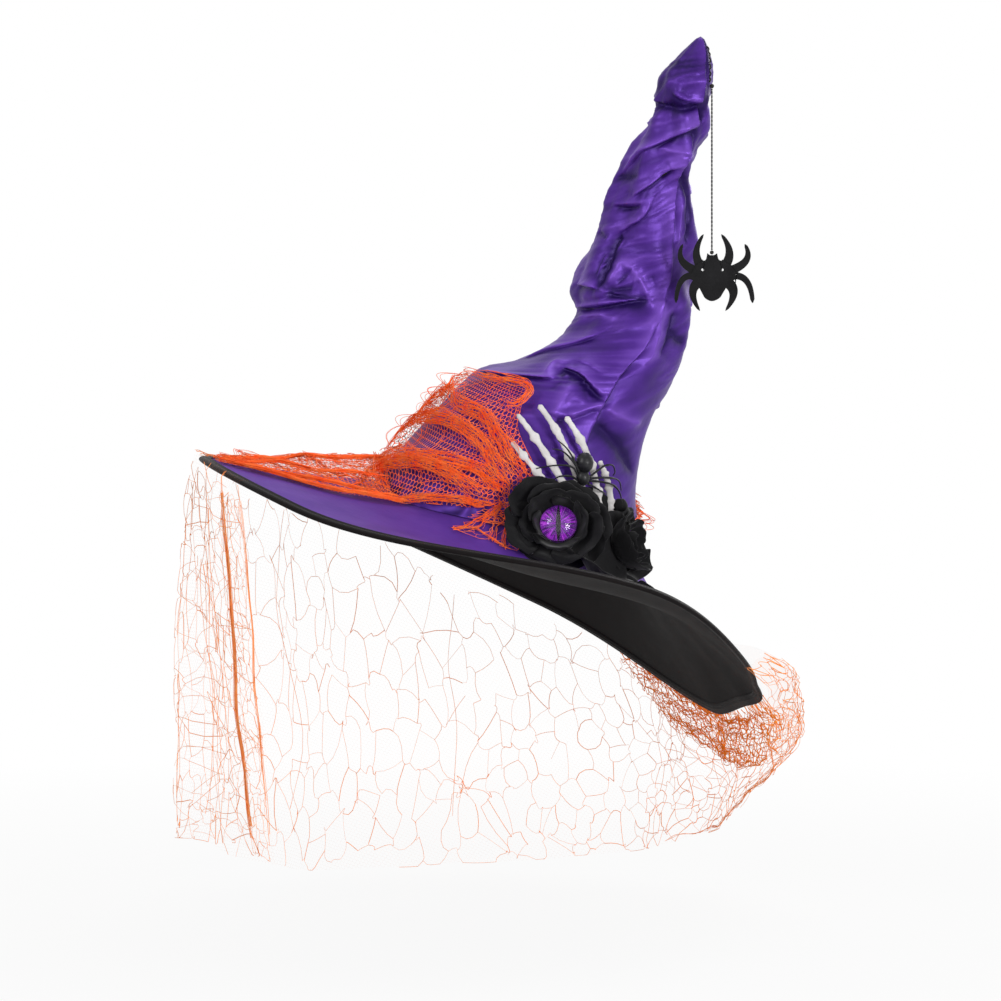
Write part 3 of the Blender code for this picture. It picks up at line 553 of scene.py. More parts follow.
def metal(name):
    mat, shader = base_material(name, (0.4, 0.4, 0.42), 0.35, Metallic=1.0)
    drawn = noise_of(mat, coordinates(mat, "Object"), 600.0, 2.0)
    vary_roughness(mat, shader, drawn, 0.25, 0.45)
    return mat


def clear_glass(name):
    mat, shader = base_material(name, (1.0, 1.0, 1.0), 0.02, Transmission_Weight=1.0, IOR=1.34)
    smear = noise_of(mat, coordinates(mat, "Object"), 60.0, 2.0)
    vary_roughness(mat, shader, smear, 0.06, 0.12)
    return mat


def foil_iris(name):
    """Slit-pupil iris drawn on the disc's own UV map, whose middle is at 0.5, 0.5."""
    mat, shader = base_material(name, (0.5, 0.03, 0.7), 0.5, Specular_IOR_Level=0.2)
    centred = vector_node(mat, 'SUBTRACT', coordinates(mat, "UV"), (0.5, 0.5, 0.0))
    split = add_node(mat, 'ShaderNodeSeparateXYZ', Vector=centred)
    x, y = split.outputs["X"], split.outputs["Y"]
    radius = math_node(mat, 'MULTIPLY', vector_node(mat, 'LENGTH', centred), 2.0)
    turn = math_node(mat, 'ARCTAN2', y, x)
    spoke = add_node(mat, 'ShaderNodeCombineXYZ', X=math_node(mat, 'COSINE', turn),
                     Y=math_node(mat, 'SINE', turn), Z=math_node(mat, 'MULTIPLY', radius, 0.22))
    streak = noise_of(mat, spoke.outputs[0], 7.5, 6.0)
    colour = colour_ramp(mat, streak, ((0.32, (0.012, 0.001, 0.035)), (0.47, (0.11, 0.003, 0.24)),
                                       (0.59, (0.32, 0.008, 0.56)), (0.74, (0.6, 0.06, 0.8))))
    rim = map_range(mat, radius, From_Min=0.8, From_Max=1.0)
    colour = mix_colours(mat, rim, colour, (0.1, 0.01, 0.25, 1.0))
    reach = math_node(mat, 'MULTIPLY', y, 2.0)
    lens = math_node(mat, 'SUBTRACT', 1.0, math_node(mat, 'MULTIPLY', reach, reach))
    slit = math_node(mat, 'LESS_THAN', math_node(mat, 'ABSOLUTE', x), math_node(mat, 'MULTIPLY', lens, 0.062))
    colour = mix_colours(mat, slit, colour, (0.006, 0.004, 0.008, 1.0))
    set_socket(mat, shader.inputs["Base Color"], colour)
    return mat


# Each satin's colours: in painted shade, its own colour, and in painted highlight
SATIN = satin("purple_satin", (0.014, 0.004, 0.066), (0.06, 0.018, 0.205), (0.135, 0.054, 0.37),
              0.28, 0.22, 0.42)
BRIM_SATIN = satin("brim_satin", (0.03, 0.01, 0.11), (0.085, 0.028, 0.25), (0.15, 0.06, 0.39),
                   0.1, 0.1, 0.58)
BLACK_CLOTH = black_cloth("black_cloth", 0.0036, 0.66, 0.0007)
BLACK_BINDING = black_cloth("black_binding", 0.004, 0.5, 0.0006)
LINING = black_cloth("black_lining", 0.01, 0.7, 0.0006)
CORE = black_cloth("brim_core", 0.05, 0.85, 0.001)
FELT = velvet("black_felt", 0.007)
PETALS = velvet("black_petals", 0.0072)
NET = lace("orange_net", (1.0, 0.085, 0.01), (1.0, 0.2, 0.035), 0.0033, 0.00022, 0.001)
VEIL_NET = lace("veil_net", (1.0, 0.22, 0.02), (1.0, 0.36, 0.09), 0.003, 0.00022, 0.0006, 0.05)
ORANGE_YARN = yarn("orange_yarn", (1.0, 0.09, 0.01), (1.0, 0.25, 0.055))
# Orange yarn made lighter and yellower as painted light, for the tucks in the brim's shade
SHADE_LIGHTENED_YARN = yarn("orange_yarn_lightened_for_shade", (1.0, 0.22, 0.012), (1.0, 0.34, 0.04), 0.9)
# Paler orange yarn for the veil: partly the veil's own lighter colour, partly painted light against the
# brim's shade
PALE_AND_LIGHTENED_YARN = yarn("pale_orange_yarn_lightened_for_shade", (1.0, 0.26, 0.06), (1.0, 0.41, 0.15), 0.6)
BLACK_YARN = yarn("black_yarn", (0.012, 0.011, 0.012), (0.035, 0.032, 0.028))
BONE = moulded("bone_white", (0.61, 0.59, 0.585), (0.47, 0.45, 0.44), 0.55, 500.0)
PLASTIC = moulded("black_plastic", (0.006, 0.006, 0.007), (0.014, 0.014, 0.016), 0.36, 900.0, 0.22)
STEEL = metal("steel_wire")
GLASS = clear_glass("clear_glass")
IRIS = foil_iris("purple_iris")


# Camera, light and floor

CAMERA_DISTANCE = 2.0
SENSOR = 36.0
VIEW_WIDTH = 1001.0 * 0.00074
LAMP_AIM = Vector((0.03, 0.0, 0.05))
# Lamps: name, place, size and power
LAMPS = (
    ("key_light", (-1.5, -1.8, 1.0), 0.7, 20.0),
    ("fill_light", (1.3, -2.0, 0.15), 0.7, 36.0),
    ("top_light", (0.3, 0.3, 2.2), 1.0, 12.0),
    ("rim_light", (1.3, 1.6, 1.0), 1.0, 12.0),
)
ROOM_LIGHT = 0.47
FLOOR_HEIGHT = -0.3
FLOOR_HALF = 6.0


def make_stage():
    scene = bpy.context.scene
    scene.view_settings.view_transform = 'Standard'
    camera = bpy.data.cameras.new("camera")
    camera.lens = SENSOR * CAMERA_DISTANCE / VIEW_WIDTH
    camera.sensor_width = SENSOR
    scene.camera = add_object("camera", camera)
    scene.camera.location = (-0.00113, -CAMERA_DISTANCE, 0.00855)
    scene.camera.rotation_euler = (0.5 * math.pi, 0.0, 0.0)

    for name, place, size, power in LAMPS:
        lamp = bpy.data.lights.new(name, 'AREA')
        lamp.size = size
        lamp.energy = power
        made = add_object(name, lamp)
        made.location = place
        made.rotation_euler = (LAMP_AIM - Vector(place)).to_track_quat('-Z', 'Y').to_euler()

    world = bpy.data.worlds.new("studio")
    scene.world = world
    world.use_nodes = True
    back = world.node_tree.nodes["Background"]
    back.inputs["Color"].default_value = (1.0, 1.0, 1.0, 1.0)
    level = map_range(world, seen_ray(world), To_Min=ROOM_LIGHT, To_Max=1.0)
    set_socket(world, back.inputs["Strength"], level)

    bm = bmesh.new()
    bmesh.ops.create_grid(bm, x_segments=1, y_segments=1, size=FLOOR_HALF)
    bmesh.ops.translate(bm, verts=bm.verts, vec=(0.0, 0.0, FLOOR_HEIGHT))
    mesh = bpy.data.meshes.new("floor")
    bm.to_mesh(mesh)
    bm.free()
    mesh.materials.append(floor_material())
    add_object("floor", mesh)


def floor_material():
    """White floor that shows mostly its own white to the camera and keeps a trace of the shadow."""
    mat, shader = base_material("pale_floor", (0.62, 0.62, 0.62), 0.8)
    glow = add_node(mat, 'ShaderNodeEmission', Strength=1.0)
    away = vector_node(mat, 'LENGTH', coordinates(mat, "Object"))
    white = map_range(mat, away, From_Min=0.5, From_Max=1.3, To_Min=0.9, To_Max=1.0)
    mix = add_node(mat, 'ShaderNodeMixShader')
    share = math_node(mat, 'MULTIPLY', seen_ray(mat), white)
    for socket, value in zip(mix.inputs, (share, shader.outputs[0], glow.outputs[0])):
        set_socket(mat, socket, value)
    set_socket(mat, mat.node_tree.nodes["Material Output"].inputs["Surface"], mix.outputs[0])
    return mat


# Thread and hanging felt spider

THREAD_RADIUS = 0.00065
THREAD_ANGLE = math.radians(-30.0)
THREAD_PIVOT_RING = 13.6
KNOT_RADIUS = 0.0016
TIE_RADIUS = 0.0014
KNOT_TURNS = 7
KNOT_TILTS = 1.37
KNOT_AXIS = Vector((0.4, 0.8, 0.45)).normalized()
PLY_OFFSET = 0.00028
PLY_RADIUS = 0.00037
STITCHES = 6
STITCH_RADIUS = 0.00055
FREE_THREAD = 0.1155
FELT_WALL = 0.0026
# Right half of the felt spider in millimetres: head, legs by root, bend, tip and half widths, tail,
# and the eye with its radius
SPIDER_HEAD = ((0.0, -0.6), (1.9, -0.1), (3.7, 1.1), (4.0, -0.6), (4.4, -2.2), (5.1, -4.1))
SPIDER_LEGS = (
    ((10.5, -6.0), (16.0, 2.7), (6.8, 14.6), 3.4, 0.8),
    ((16.3, -10.0), (30.5, -3.9), (23.6, 7.6), 3.1, 0.9),
    ((17.0, -15.0), (28.2, -15.2), (29.2, -34.4), 2.5, 1.4),
    ((12.8, -21.0), (19.3, -27.5), (9.8, -40.0), 3.8, 0.7),
)
SPIDER_TAIL = ((6.2, -30.3), (4.8, -31.5), (3.0, -32.4), (1.5, -33.0), (0.0, -33.1))
SPIDER_EYE = (7.5, -10.7, 1.0)
SPIDER_LEFT_SHARE = 0.88
PIVOT = crown_point(THREAD_PIVOT_RING, THREAD_ANGLE, 2.0 * FIT + KNOT_RADIUS)


def arc_point(root, bend, tip, f):
    """Point of a quadratic curve."""
    return root * (1 - f) ** 2 + bend * 2 * f * (1 - f) + tip * f * f


def stroke(root, bend, tip, half_width, samples):
    """Left side from root to tip, then right side back, of a strip along a quadratic curve."""
    left = []
    right = []
    for k in range(samples + 1):
        f = k / samples
        point = arc_point(root, bend, tip, f)
        along = ((bend - root) * (1 - f) + (tip - bend) * f).normalized()
        side = Vector((-along.y, along.x)) * half_width(f)
        left.append(point + side)
        right.append(point - side)
    return left + right[::-1]


def knot(name, centre, radius, replaced, body):
    """Overhand knot of the thread: a ball of wound turns."""
    steps = 16 * KNOT_TURNS
    line = []
    for k in range(steps + 1):
        around_ball = FULL_TURN * KNOT_TURNS * k / steps
        spin = Matrix.Rotation(FULL_TURN * KNOT_TILTS * k / steps, 3, KNOT_AXIS)
        wound = polar(around_ball, 1.0, 0.25 * math.sin(3.0 * around_ball))
        line.append((centre + spin @ wound * (radius - 0.0004), 0.00045))
    return threads(name, [line], BLACK_YARN, replaced, body, 1)


def make_hanging_spider():
    fall = [PIVOT - Vector((0.0, 0.0, KNOT_RADIUS + FIT + FREE_THREAD * k / 30)) for k in range(31)]
    plies = []
    for ply in range(2):
        line = []
        for k in range(241):
            turn = FULL_TURN * k / 12.0 + math.pi * ply
            line.append((fall[0].lerp(fall[-1], k / 240.0) + polar(turn) * PLY_OFFSET, PLY_RADIUS))
        plies.append(line)
    cord = threads("spider_cord", plies, BLACK_YARN, ("spider_thread",), "thread", 1)
    knot("sewn_knot", PIVOT, KNOT_RADIUS, ("thread_knot",), "thread_knot")
    tie_at = fall[-1] - Vector((0.0, 0.0, FIT + TIE_RADIUS))
    tie = knot("tie_knot", tie_at, TIE_RADIUS, ("spider_tie",), "hanging_spider")
    tuple(fall[0])
    [tuple(point) for point in fall]

    stitches = []
    top, bottom = TIP_RING - 0.5, THREAD_PIVOT_RING + 0.22
    for k in range(STITCHES):
        line = []
        for step in range(7):
            f = (k + 0.08 + 0.84 * step / 6.0) / STITCHES
            out = THREAD_RADIUS * (0.3 + 1.4 * math.sin(math.pi * step / 6.0))
            line.append((crown_point(top + (bottom - top) * f, THREAD_ANGLE, out), STITCH_RADIUS))
        stitches.append(line)
    threads("sewn_stitches", stitches, BLACK_YARN, ("thread_sewn_end",), sides=1)
    make_felt_spider(tie_at - Vector((0.0, 0.0, TIE_RADIUS + FIT)))


def leg_width(at_root, at_tip):
    """Half width of a spider's leg along it, round at its tip."""
    def half_width(f):
        rounding = math.sqrt(max(1.0 - max((f - 0.92) / 0.08, 0.0) ** 2, 0.05))
        return (at_root + (at_tip - at_root) * f ** 1.5) * rounding

    return half_width


def make_felt_spider(hung_at):
    """Die-cut felt spider with pressed edges and punched eyes."""
    outline = [Vector(point) for point in SPIDER_HEAD]
    for root, bend, tip, at_root, at_tip in SPIDER_LEGS:
        outline += stroke(Vector(root), Vector(bend), Vector(tip), leg_width(at_root, at_tip), 14)
    outline += [Vector(point) for point in SPIDER_TAIL]
    left = [Vector((-SPIDER_LEFT_SHARE * point.x, point.y)) for point in reversed(outline[1:-1])]
    flat_loops = [outline + left]
    eye_x, eye_z, eye_radius = SPIDER_EYE
    for side in (eye_x, -SPIDER_LEFT_SHARE * eye_x):
        turns = [FULL_TURN * k / 12 for k in range(12)]
        hole = [(side + eye_radius * math.cos(a), eye_z + eye_radius * math.sin(a)) for a in turns]
        flat_loops.append(hole)
    bm = bmesh.new()
    edges = []
    for loop in flat_loops:
        points = [Vector((x, -0.5 * FELT_WALL / MM, z)) * MM for x, z in loop]
        corners = [bm.verts.new(point + hung_at) for point in points]
        edges += [bm.edges.new((a, b)) for a, b in zip(corners, corners[1:] + corners[:1])]
    bmesh.ops.triangle_fill(bm, edges=edges, use_beauty=True)
    back = bmesh.ops.extrude_face_region(bm, geom=bm.faces[:])
    bmesh.ops.translate(bm, verts=corners_of(back), vec=(0.0, FELT_WALL, 0.0))
    face_outward(bm)
    rims = [edge for edge in bm.edges if edge.is_manifold and edge.calc_face_angle(0.0) > 1.0
            and abs(edge.verts[0].co.y - edge.verts[1].co.y) < MERGE_DISTANCE]
    bmesh.ops.bevel(bm, geom=rims, offset=0.00045, offset_type='OFFSET', segments=2, profile=0.5,
                    affect='EDGES', material=-1)
    finish_piece("felt_cutout_spider", bm, FELT, ("felt_spider",), "hanging_spider", smooth=False)


# Crown

CROWN_COLUMNS = 288
CROWN_ROWS = 330
# Share of the columns and of the full turn that they take up
FRONT_COLUMNS = ((0.0, 0.0), (0.26, 0.19), (0.56, 0.665), (1.0, 1.0))
REACH_STEPS = 400
CREASE_REACH = 4.0
CREASE_LIMITS = (-0.0042, 0.003)
TIP_DARKENS_FROM = 11.5
RIDGE, VALLEY, EDGE = "ridge", "valley", "edge"
# Creases of the crown's front: kind, rows of angle and ring station, depth and half width;
# an edge is a fold whose side to the left of its run lies over the other
CREASES = (
    (VALLEY, ((183, 12.48), (233, 12.15), (272, 11.98), (313, 12.13)), 0.003, 0.003),
    (EDGE, ((240, 13.28), (272, 12.64), (305, 12.23)), 0.0018, 0.003),
    (VALLEY, ((317, 11.95), (326, 11.36)), 0.0025, 0.002),
    (EDGE, ((193, 9.38), (208, 9.67), (226, 10.0), (240, 10.24), (259, 10.64), (285, 11.09), (315, 11.3)),
     0.0026, 0.005),
    (VALLEY, ((292, 11.09), (304, 10.42), (311, 10.01)), 0.002, 0.002),
    (RIDGE, ((250, 10.23), (274, 10.14), (301, 10.09), (320, 9.95)), 0.0018, 0.0022),
    (EDGE, ((239, 8.9), (255, 9.13), (273, 9.37), (293, 9.63)), 0.002, 0.004),
    (RIDGE, ((281, 9.61), (295, 9.75), (315, 9.93)), 0.003, 0.003),
    (VALLEY, ((305, 9.51), (326, 8.88), (329, 8.4), (330, 7.72)), 0.0032, 0.0032),
    (RIDGE, ((315, 8.71), (314, 8.25), (312, 7.76)), 0.0015, 0.003),
    (VALLEY, ((183, 9.26), (212, 9.28), (239, 9.41)), 0.002, 0.0025),
    (VALLEY, ((208, 8.6), (237, 8.61), (257, 8.69)), 0.002, 0.0025),
    (RIDGE, ((202, 8.68), (235, 8.75), (260, 8.85)), 0.0012, 0.002),
    (EDGE, ((230, 7.97), (244, 8.21), (260, 8.45), (268, 8.75)), 0.0016, 0.004),
    (VALLEY, ((232, 7.98), (234, 7.53), (234, 7.06), (234, 6.62), (233, 6.15)), 0.004, 0.003),
    (VALLEY, ((196, 7.91), (219, 7.75)), 0.0012, 0.002),
    (RIDGE, ((242, 6.31), (246, 6.74), (249, 7.09), (261, 6.9), (272, 6.49)), 0.003, 0.004),
    (VALLEY, ((241, 6.05), (255, 5.81), (274, 5.79), (284, 5.89)), 0.0035, 0.0035),
    (RIDGE, ((269, 6.63), (279, 6.13), (284, 5.34)), 0.002, 0.002),
    (EDGE, ((193, 6.2), (214, 6.2), (232, 6.11)), 0.0025, 0.004),
    (EDGE, ((187, 5.18), (218, 5.27), (243, 5.46), (264, 5.64), (284, 5.76)), 0.003, 0.005),
    (RIDGE, ((199, 4.81), (226, 4.94), (253, 4.89)), 0.0012, 0.003),
    (EDGE, ((188, 3.12), (197, 3.41), (213, 3.68), (230, 4.06), (240, 4.36)), 0.0018, 0.006),
    (EDGE, ((194, 2.13), (213, 2.28), (231, 2.58), (246, 2.76)), 0.003, 0.005),
    (RIDGE, ((248, 2.69), (235, 3.02), (230, 3.32), (241, 3.31)), 0.002, 0.0025),
    (EDGE, ((242, 3.14), (256, 3.08), (272, 2.8), (285, 2.52)), 0.0025, 0.004),
    (VALLEY, ((250, 2.81), (245, 3.08), (254, 3.03), (266, 2.84)), 0.0025, 0.003),
    (VALLEY, ((264, 2.86), (277, 2.6), (287, 2.44)), 0.002, 0.0025),
    (RIDGE, ((298, 5.73), (294, 4.91), (297, 4.28), (296, 3.68)), 0.0025, 0.005),
    (VALLEY, ((310, 5.28), (312, 4.55), (307, 3.97)), 0.0018, 0.004),
    (VALLEY, ((307, 4.64), (338, 4.4)), 0.002, 0.0025),
    (RIDGE, ((294, 2.31), (307, 2.2), (330, 2.13)), 0.002, 0.003),
    (VALLEY, ((295, 1.94), (307, 1.8), (321, 1.61), (339, 1.3)), 0.003, 0.005),
    (RIDGE, ((289, 2.41), (283, 2.15), (276, 1.95)), 0.0015, 0.0025),
    (VALLEY, ((290, 2.22), (282, 1.94), (273, 1.78)), 0.0015, 0.003),
    (RIDGE, ((260, 2.73), (267, 2.2), (269, 1.84)), 0.002, 0.0035),
    (RIDGE, ((207, 13.84), (271, 13.68), (318, 13.93)), 0.0008, 0.004),
    (VALLEY, ((183, 14.49), (264, 14.42), (311, 14.61)), 0.0008, 0.004),
)


def line_side(x, y, route):
    """Distance from the nearest stretch of a route, above 0 on its left side, and where along it."""
    best = (1.0, 0.0)
    last = len(route) - 1
    for row in range(last):
        (ax, ay), (bx, by) = route[row], route[row + 1]
        dx, dy = bx - ax, by - ay
        f = limit(((x - ax) * dx + (y - ay) * dy) / (dx * dx + dy * dy))
        away = math.hypot(x - ax - f * dx, y - ay - f * dy)
        if away < abs(best[0]):
            best = (math.copysign(away, dx * (y - ay) - dy * (x - ax)), (row + f) / last)
    return best


def crease_height(kind, side, along, depth, half):
    fade = min(1.0, 5.0 * along + 0.15, 5.0 * (1.0 - along) + 0.15)
    near = 1.5 * math.exp(-abs(side) / half)
    if kind == EDGE:
        over = limit(0.5 + side / 0.0016)
        return fade * depth * near * (1.7 * over - 0.7)
    return fade * depth * (near if kind == RIDGE else -near)


def crown_reaches():
    """Length of the crown's leaning middle line up to each of even stations."""
    reach = [0.0]
    centres = [crown_ring(TIP_RING * k / REACH_STEPS)[0] for k in range(REACH_STEPS + 1)]
    for a, b in zip(centres, centres[1:]):
        reach.append(reach[-1] + (b - a).length)
    return reach


def crown_stations(reach, count):
    """Ring stations spaced evenly up the crown's middle line."""
    stations = []
    k = 0
    for row in range(count + 1):
        goal = reach[-1] * row / count
        while k < REACH_STEPS - 1 and reach[k + 1] < goal:
            k += 1
        stations.append(TIP_RING / REACH_STEPS * (k + (goal - reach[k]) / (reach[k + 1] - reach[k])))
    return stations


def reach_at(reach, t):
    """Length of the middle line up to ring station t."""
    spot = limit(t / TIP_RING * REACH_STEPS, 0.0, REACH_STEPS - 0.001)
    low = int(spot)
    return reach[low] + (reach[low + 1] - reach[low]) * (spot - low)


def finer_crease(crease, dice):
    """Shorter, shallower crease beside another."""
    _, route, depth, half = crease
    first = dice.randrange(0, len(route) // 2 + 1)
    part = route[first:first + max(len(route) // 2, 2)]
    aside, above = dice.choice((-1.0, 1.0)) * dice.uniform(4.0, 11.0), dice.uniform(-0.35, 0.35)
    lean = dice.uniform(-0.05, 0.05)
    part = [(angle + aside + lean * 60.0 * k, t + above + lean * k) for k, (angle, t) in enumerate(part)]
    return (dice.choice((RIDGE, VALLEY, EDGE)), part, depth * dice.uniform(0.25, 0.45),
            half * dice.uniform(0.4, 0.7))


def crown_creases():
    """The creases of the front, finer ones beside them, and more of the same kind round the back."""
    dice = random.Random(17)
    creases = [(kind, smooth_route(route, 3), depth, half) for kind, route, depth, half in CREASES]
    for crease in list(creases):
        route = crease[1]
        if 218.0 < route[len(route) // 2][0] < 300.0:
            creases += [finer_crease(crease, dice) for _ in range(2)]
    for _ in range(60):
        angle = dice.uniform(25.0, 155.0)
        t = dice.uniform(1.0, 13.5)
        reach = dice.uniform(15.0, 35.0)
        slope = dice.uniform(-0.9, 0.9)
        route = ((angle - reach, t - slope), (angle, t + dice.uniform(-0.3, 0.3)), (angle + reach, t + slope))
        creases.append((dice.choice((RIDGE, VALLEY, EDGE, EDGE)), smooth_route(route, 4),
                        dice.uniform(0.0015, 0.0034), dice.uniform(0.0025, 0.005)))
    return creases


def column_turn(u):
    """Share of the full turn at a column, with the columns closer together on the front."""
    for (u1, w1), (u2, w2) in zip(FRONT_COLUMNS, FRONT_COLUMNS[1:]):
        if u <= u2:
            return w1 + (w2 - w1) * (u - u1) / (u2 - u1)
    return 1.0


def near_creases(t, wide, reach, creases):
    """Creases within a station of a row, laid out in metres on the row's own flat cloth."""
    lines = []
    for kind, route, depth, half in creases:
        stations = [at for _, at in route]
        if min(stations) - 1.0 < t < max(stations) + 1.0:
            line = [(math.radians(angle) * wide, reach_at(reach, at)) for angle, at in route]
            sides = [x for x, _ in line]
            margin = CREASE_REACH * half
            lines.append((min(sides) - margin, max(sides) + margin, line, kind, depth, half))
    return lines


def crease_sum(x, up, lines):
    """Height of all the creases at a spot of the flat cloth."""
    total = 0.0
    for low, high, line, kind, depth, half in lines:
        if low < x < high:
            side, along = line_side(x, up, line)
            if abs(side) < CREASE_REACH * half:
                total += crease_height(kind, side, along, depth, half)
    return total


def crown_spot(u, row):
    """Point of the crumpled crown at a column of a row, and its painted shading there: painted shade in
    crease valleys, wrinkles and the seam, painted highlight on ridges.
    """
    t, wide, up, seam, lines = row
    turned = column_turn(u)
    angle = seam + FULL_TURN * turned
    run = FULL_TURN * turned * wide
    grow = 0.002 * noise.noise(polar(angle) * 2.6 + Vector((0.0, 0.0, 0.9 * t)))
    lean = Vector((0.82 * run + 0.57 * up, 0.82 * up - 0.57 * run, 0.0))
    facets = noise.voronoi(Vector((lean.x / 0.07, lean.y / 0.022, 0.0)))[0]
    grow += 0.0001 * min(t, 7.0) * math.exp(-(facets[1] - facets[0]) / 0.12)
    wrinkled = Vector((lean.x / 0.036, lean.y / 0.014, 2.0))
    crinkle = noise.ridged_multi_fractal(wrinkled, 0.9, 2.1, 3, 0.9, 1.6) - 0.8
    crinkle *= min(0.4 + 0.12 * t, 1.0) * limit(0.7 * (TIP_RING - t), 0.25)
    at_base = math.exp(-(t / 0.45) ** 2)
    gather = 1.0 - 2.0 * abs(noise.noise(polar(angle, 9.0, 3.0 * t)))
    creased = 0.0022 * at_base * (gather - 0.4)
    creased += sum(crease_sum((angle + turn) * wide, up, lines) for turn in (-FULL_TURN, 0.0))

    # The cloth's last column laps over its first at the seam
    fade = limit(4.0 * t) * limit(0.5 * (TIP_RING - t))
    gap = FULL_TURN * wide * min(turned, 1.0 - turned)
    if u > 0.5:
        angle += 0.003 / wide * fade * math.exp(-gap / 0.006)
        creased += 0.0022 * math.exp(-gap / 0.004) - 0.0024 * (u > 1.0 - 0.5 / CROWN_COLUMNS)
    else:
        creased -= 0.0016 * math.exp(-gap / 0.005)
    creased = limit(creased, *CREASE_LIMITS) + 0.0007 * crinkle
    # Painted shading from the crease height: painted highlight on ridges and wrinkles, painted shade in their
    # valleys; also darker at the foot
    painted_shading_and_tone = 0.5 + creased / 0.0048 + 0.12 * crinkle - 0.2 * math.exp(-t / 0.3)
    # Painted shadow line along the seam's lap, and darker towards the tip
    painted_shading_and_tone -= 0.5 * math.exp(-gap / 0.0012) * fade + 0.25 * limit(0.5 * (t - TIP_DARKENS_FROM))
    return crown_point(t, angle, fade * (grow + creased)), limit(painted_shading_and_tone)


def close_tip(bm):
    """Low peak over the crown's last ring."""
    top, wide, _, frame_at = crown_ring(TIP_RING)
    tip = [edge for edge in bm.edges
           if edge.is_boundary and all((vert.co - top).length < wide + 0.0004 for vert in edge.verts)]
    cap = bmesh.ops.edgeloop_fill(bm, edges=tip)["faces"]
    for vert in bmesh.ops.poke(bm, faces=cap)["verts"]:
        vert.co += frame_at.col[2] * TIP_RISE
        # The peak takes a darker value on the painted shading layer, like the tip rows
        vert[bm.verts.layers.float["fold"]] = 0.3


def make_crown():
    reach = crown_reaches()
    creases = crown_creases()
    rows = []
    for t in crown_stations(reach, CROWN_ROWS):
        wide = crown_ring(t)[1]
        lines = near_creases(t, wide, reach, creases)
        rows.append((t, wide, reach_at(reach, t), math.radians(blend_table(SEAM, t)), lines))
    # The fold layer carries the painted shading that the satin reads
    bm = laid_grid(CROWN_COLUMNS, CROWN_ROWS, lambda u, v: crown_spot(u, rows[round(v * CROWN_ROWS)]), "fold")
    scale_uv(bm, 0.4, 0.36)
    merge(bm)
    close_tip(bm)
    face_outward(bm)
    bmesh.ops.smooth_vert(bm, verts=bm.verts, factor=0.25, use_axis_x=True, use_axis_y=True, use_axis_z=True)
    return finish_piece("crumpled_crown", bm, SATIN, ("crown_cone",))


# Brim

BRIM_COLUMNS = 240
BRIM_ROWS = 26
BRIM_LIFT = 0.0021
# Even value on the painted shading layer: the brim's satin gets no painted shade or highlight
PLAIN_FOLD = 0.55
# Stitched welts of the binding: share of its lap and rise
BINDING_WELTS = ((0.12, 0.0), (0.22, 0.0005), (0.32, 0.0), (0.48, -0.0002), (0.6, 0.0005), (0.72, 0.0))


def brim_ring(name, section, mat, replaced, ripple=None):
    """Closed or open section of (radius, lift) swept round the brim."""
    count = len(section) - 1

    def place(u, v):
        radius, lift = section[round(u * count)]
        angle = ring_angle(v, BRIM_COLUMNS)
        return brim_point(radius, angle, lift + (ripple(radius, angle) if ripple else 0.0)), PLAIN_FOLD

    bm = laid_grid(count, BRIM_COLUMNS, place, "fold")
    scale_uv(bm, 0.12, 1.4)
    close_ring(bm)
    return finish_piece(name, bm, mat, (replaced,))


def pucker(radius, angle):
    """Small gathers of the brim's satin, strongest at the crown's foot."""
    near = max(1.0 - (radius - OPENING_RADIUS) / 0.03, 0.0)
    place = polar(angle, 5.0, 40.0 * radius)
    return 0.0012 * near * max(noise.noise(place * 3.0), 0.0) + 0.0007 * noise.noise(place)


def make_brim():
    edge = BRIM_RADIUS - BINDING_WALL - 2.0 * FIT - 2.0 * WIRE_RADIUS - FIT
    radii = [OPENING_RADIUS + (edge - OPENING_RADIUS) * k / BRIM_ROWS for k in range(BRIM_ROWS + 1)]
    inward = radii[::-1]
    brim_ring("brim_satin_cover", [(r, BRIM_STACK) for r in radii], BRIM_SATIN, "brim_top_cover", pucker)
    under = [(r, BRIM_LIFT - 0.0001) for r in inward]
    brim_ring("brim_black_underside", under, BLACK_CLOTH, "brim_under_cover")
    core = [(r, BRIM_LIFT + 0.0004) for r in inward] + [(r, BRIM_STACK - 0.0006) for r in radii]
    brim_ring("brim_core_board", core, CORE, "brim_stiffener")

    middle = 0.5 * (BRIM_STACK + BRIM_LIFT)
    wire_at = edge + FIT + WIRE_RADIUS
    corners = [FULL_TURN * k / 10 for k in range(11)]
    wire = [(wire_at + WIRE_RADIUS * math.cos(a), middle + WIRE_RADIUS * math.sin(a)) for a in corners]
    brim_ring("brim_rim_wire", wire, STEEL, "brim_edge_wire")

    lap = edge - BINDING_LAP
    low = BRIM_LIFT - FIT - BINDING_WALL
    high = BRIM_STACK + FIT + BINDING_WALL
    section = [(lap, BRIM_STACK), (lap, high - 0.0002)]
    section += [(lap + BINDING_LAP * at, high + rise) for at, rise in BINDING_WELTS]
    for k in range(11):
        a = 0.5 * math.pi - math.pi * k / 10
        section.append((edge + WIRE_RADIUS + (BRIM_RADIUS - edge - WIRE_RADIUS) * math.cos(a),
                        middle + (high - middle) * math.sin(a)))
    section += [(lap + BINDING_LAP * at, low - rise) for at, rise in reversed(BINDING_WELTS)]
    section += [(lap, low + 0.0002), (lap, BRIM_LIFT)]
    brim_ring("edge_binding", section, BLACK_BINDING, "brim_binding")


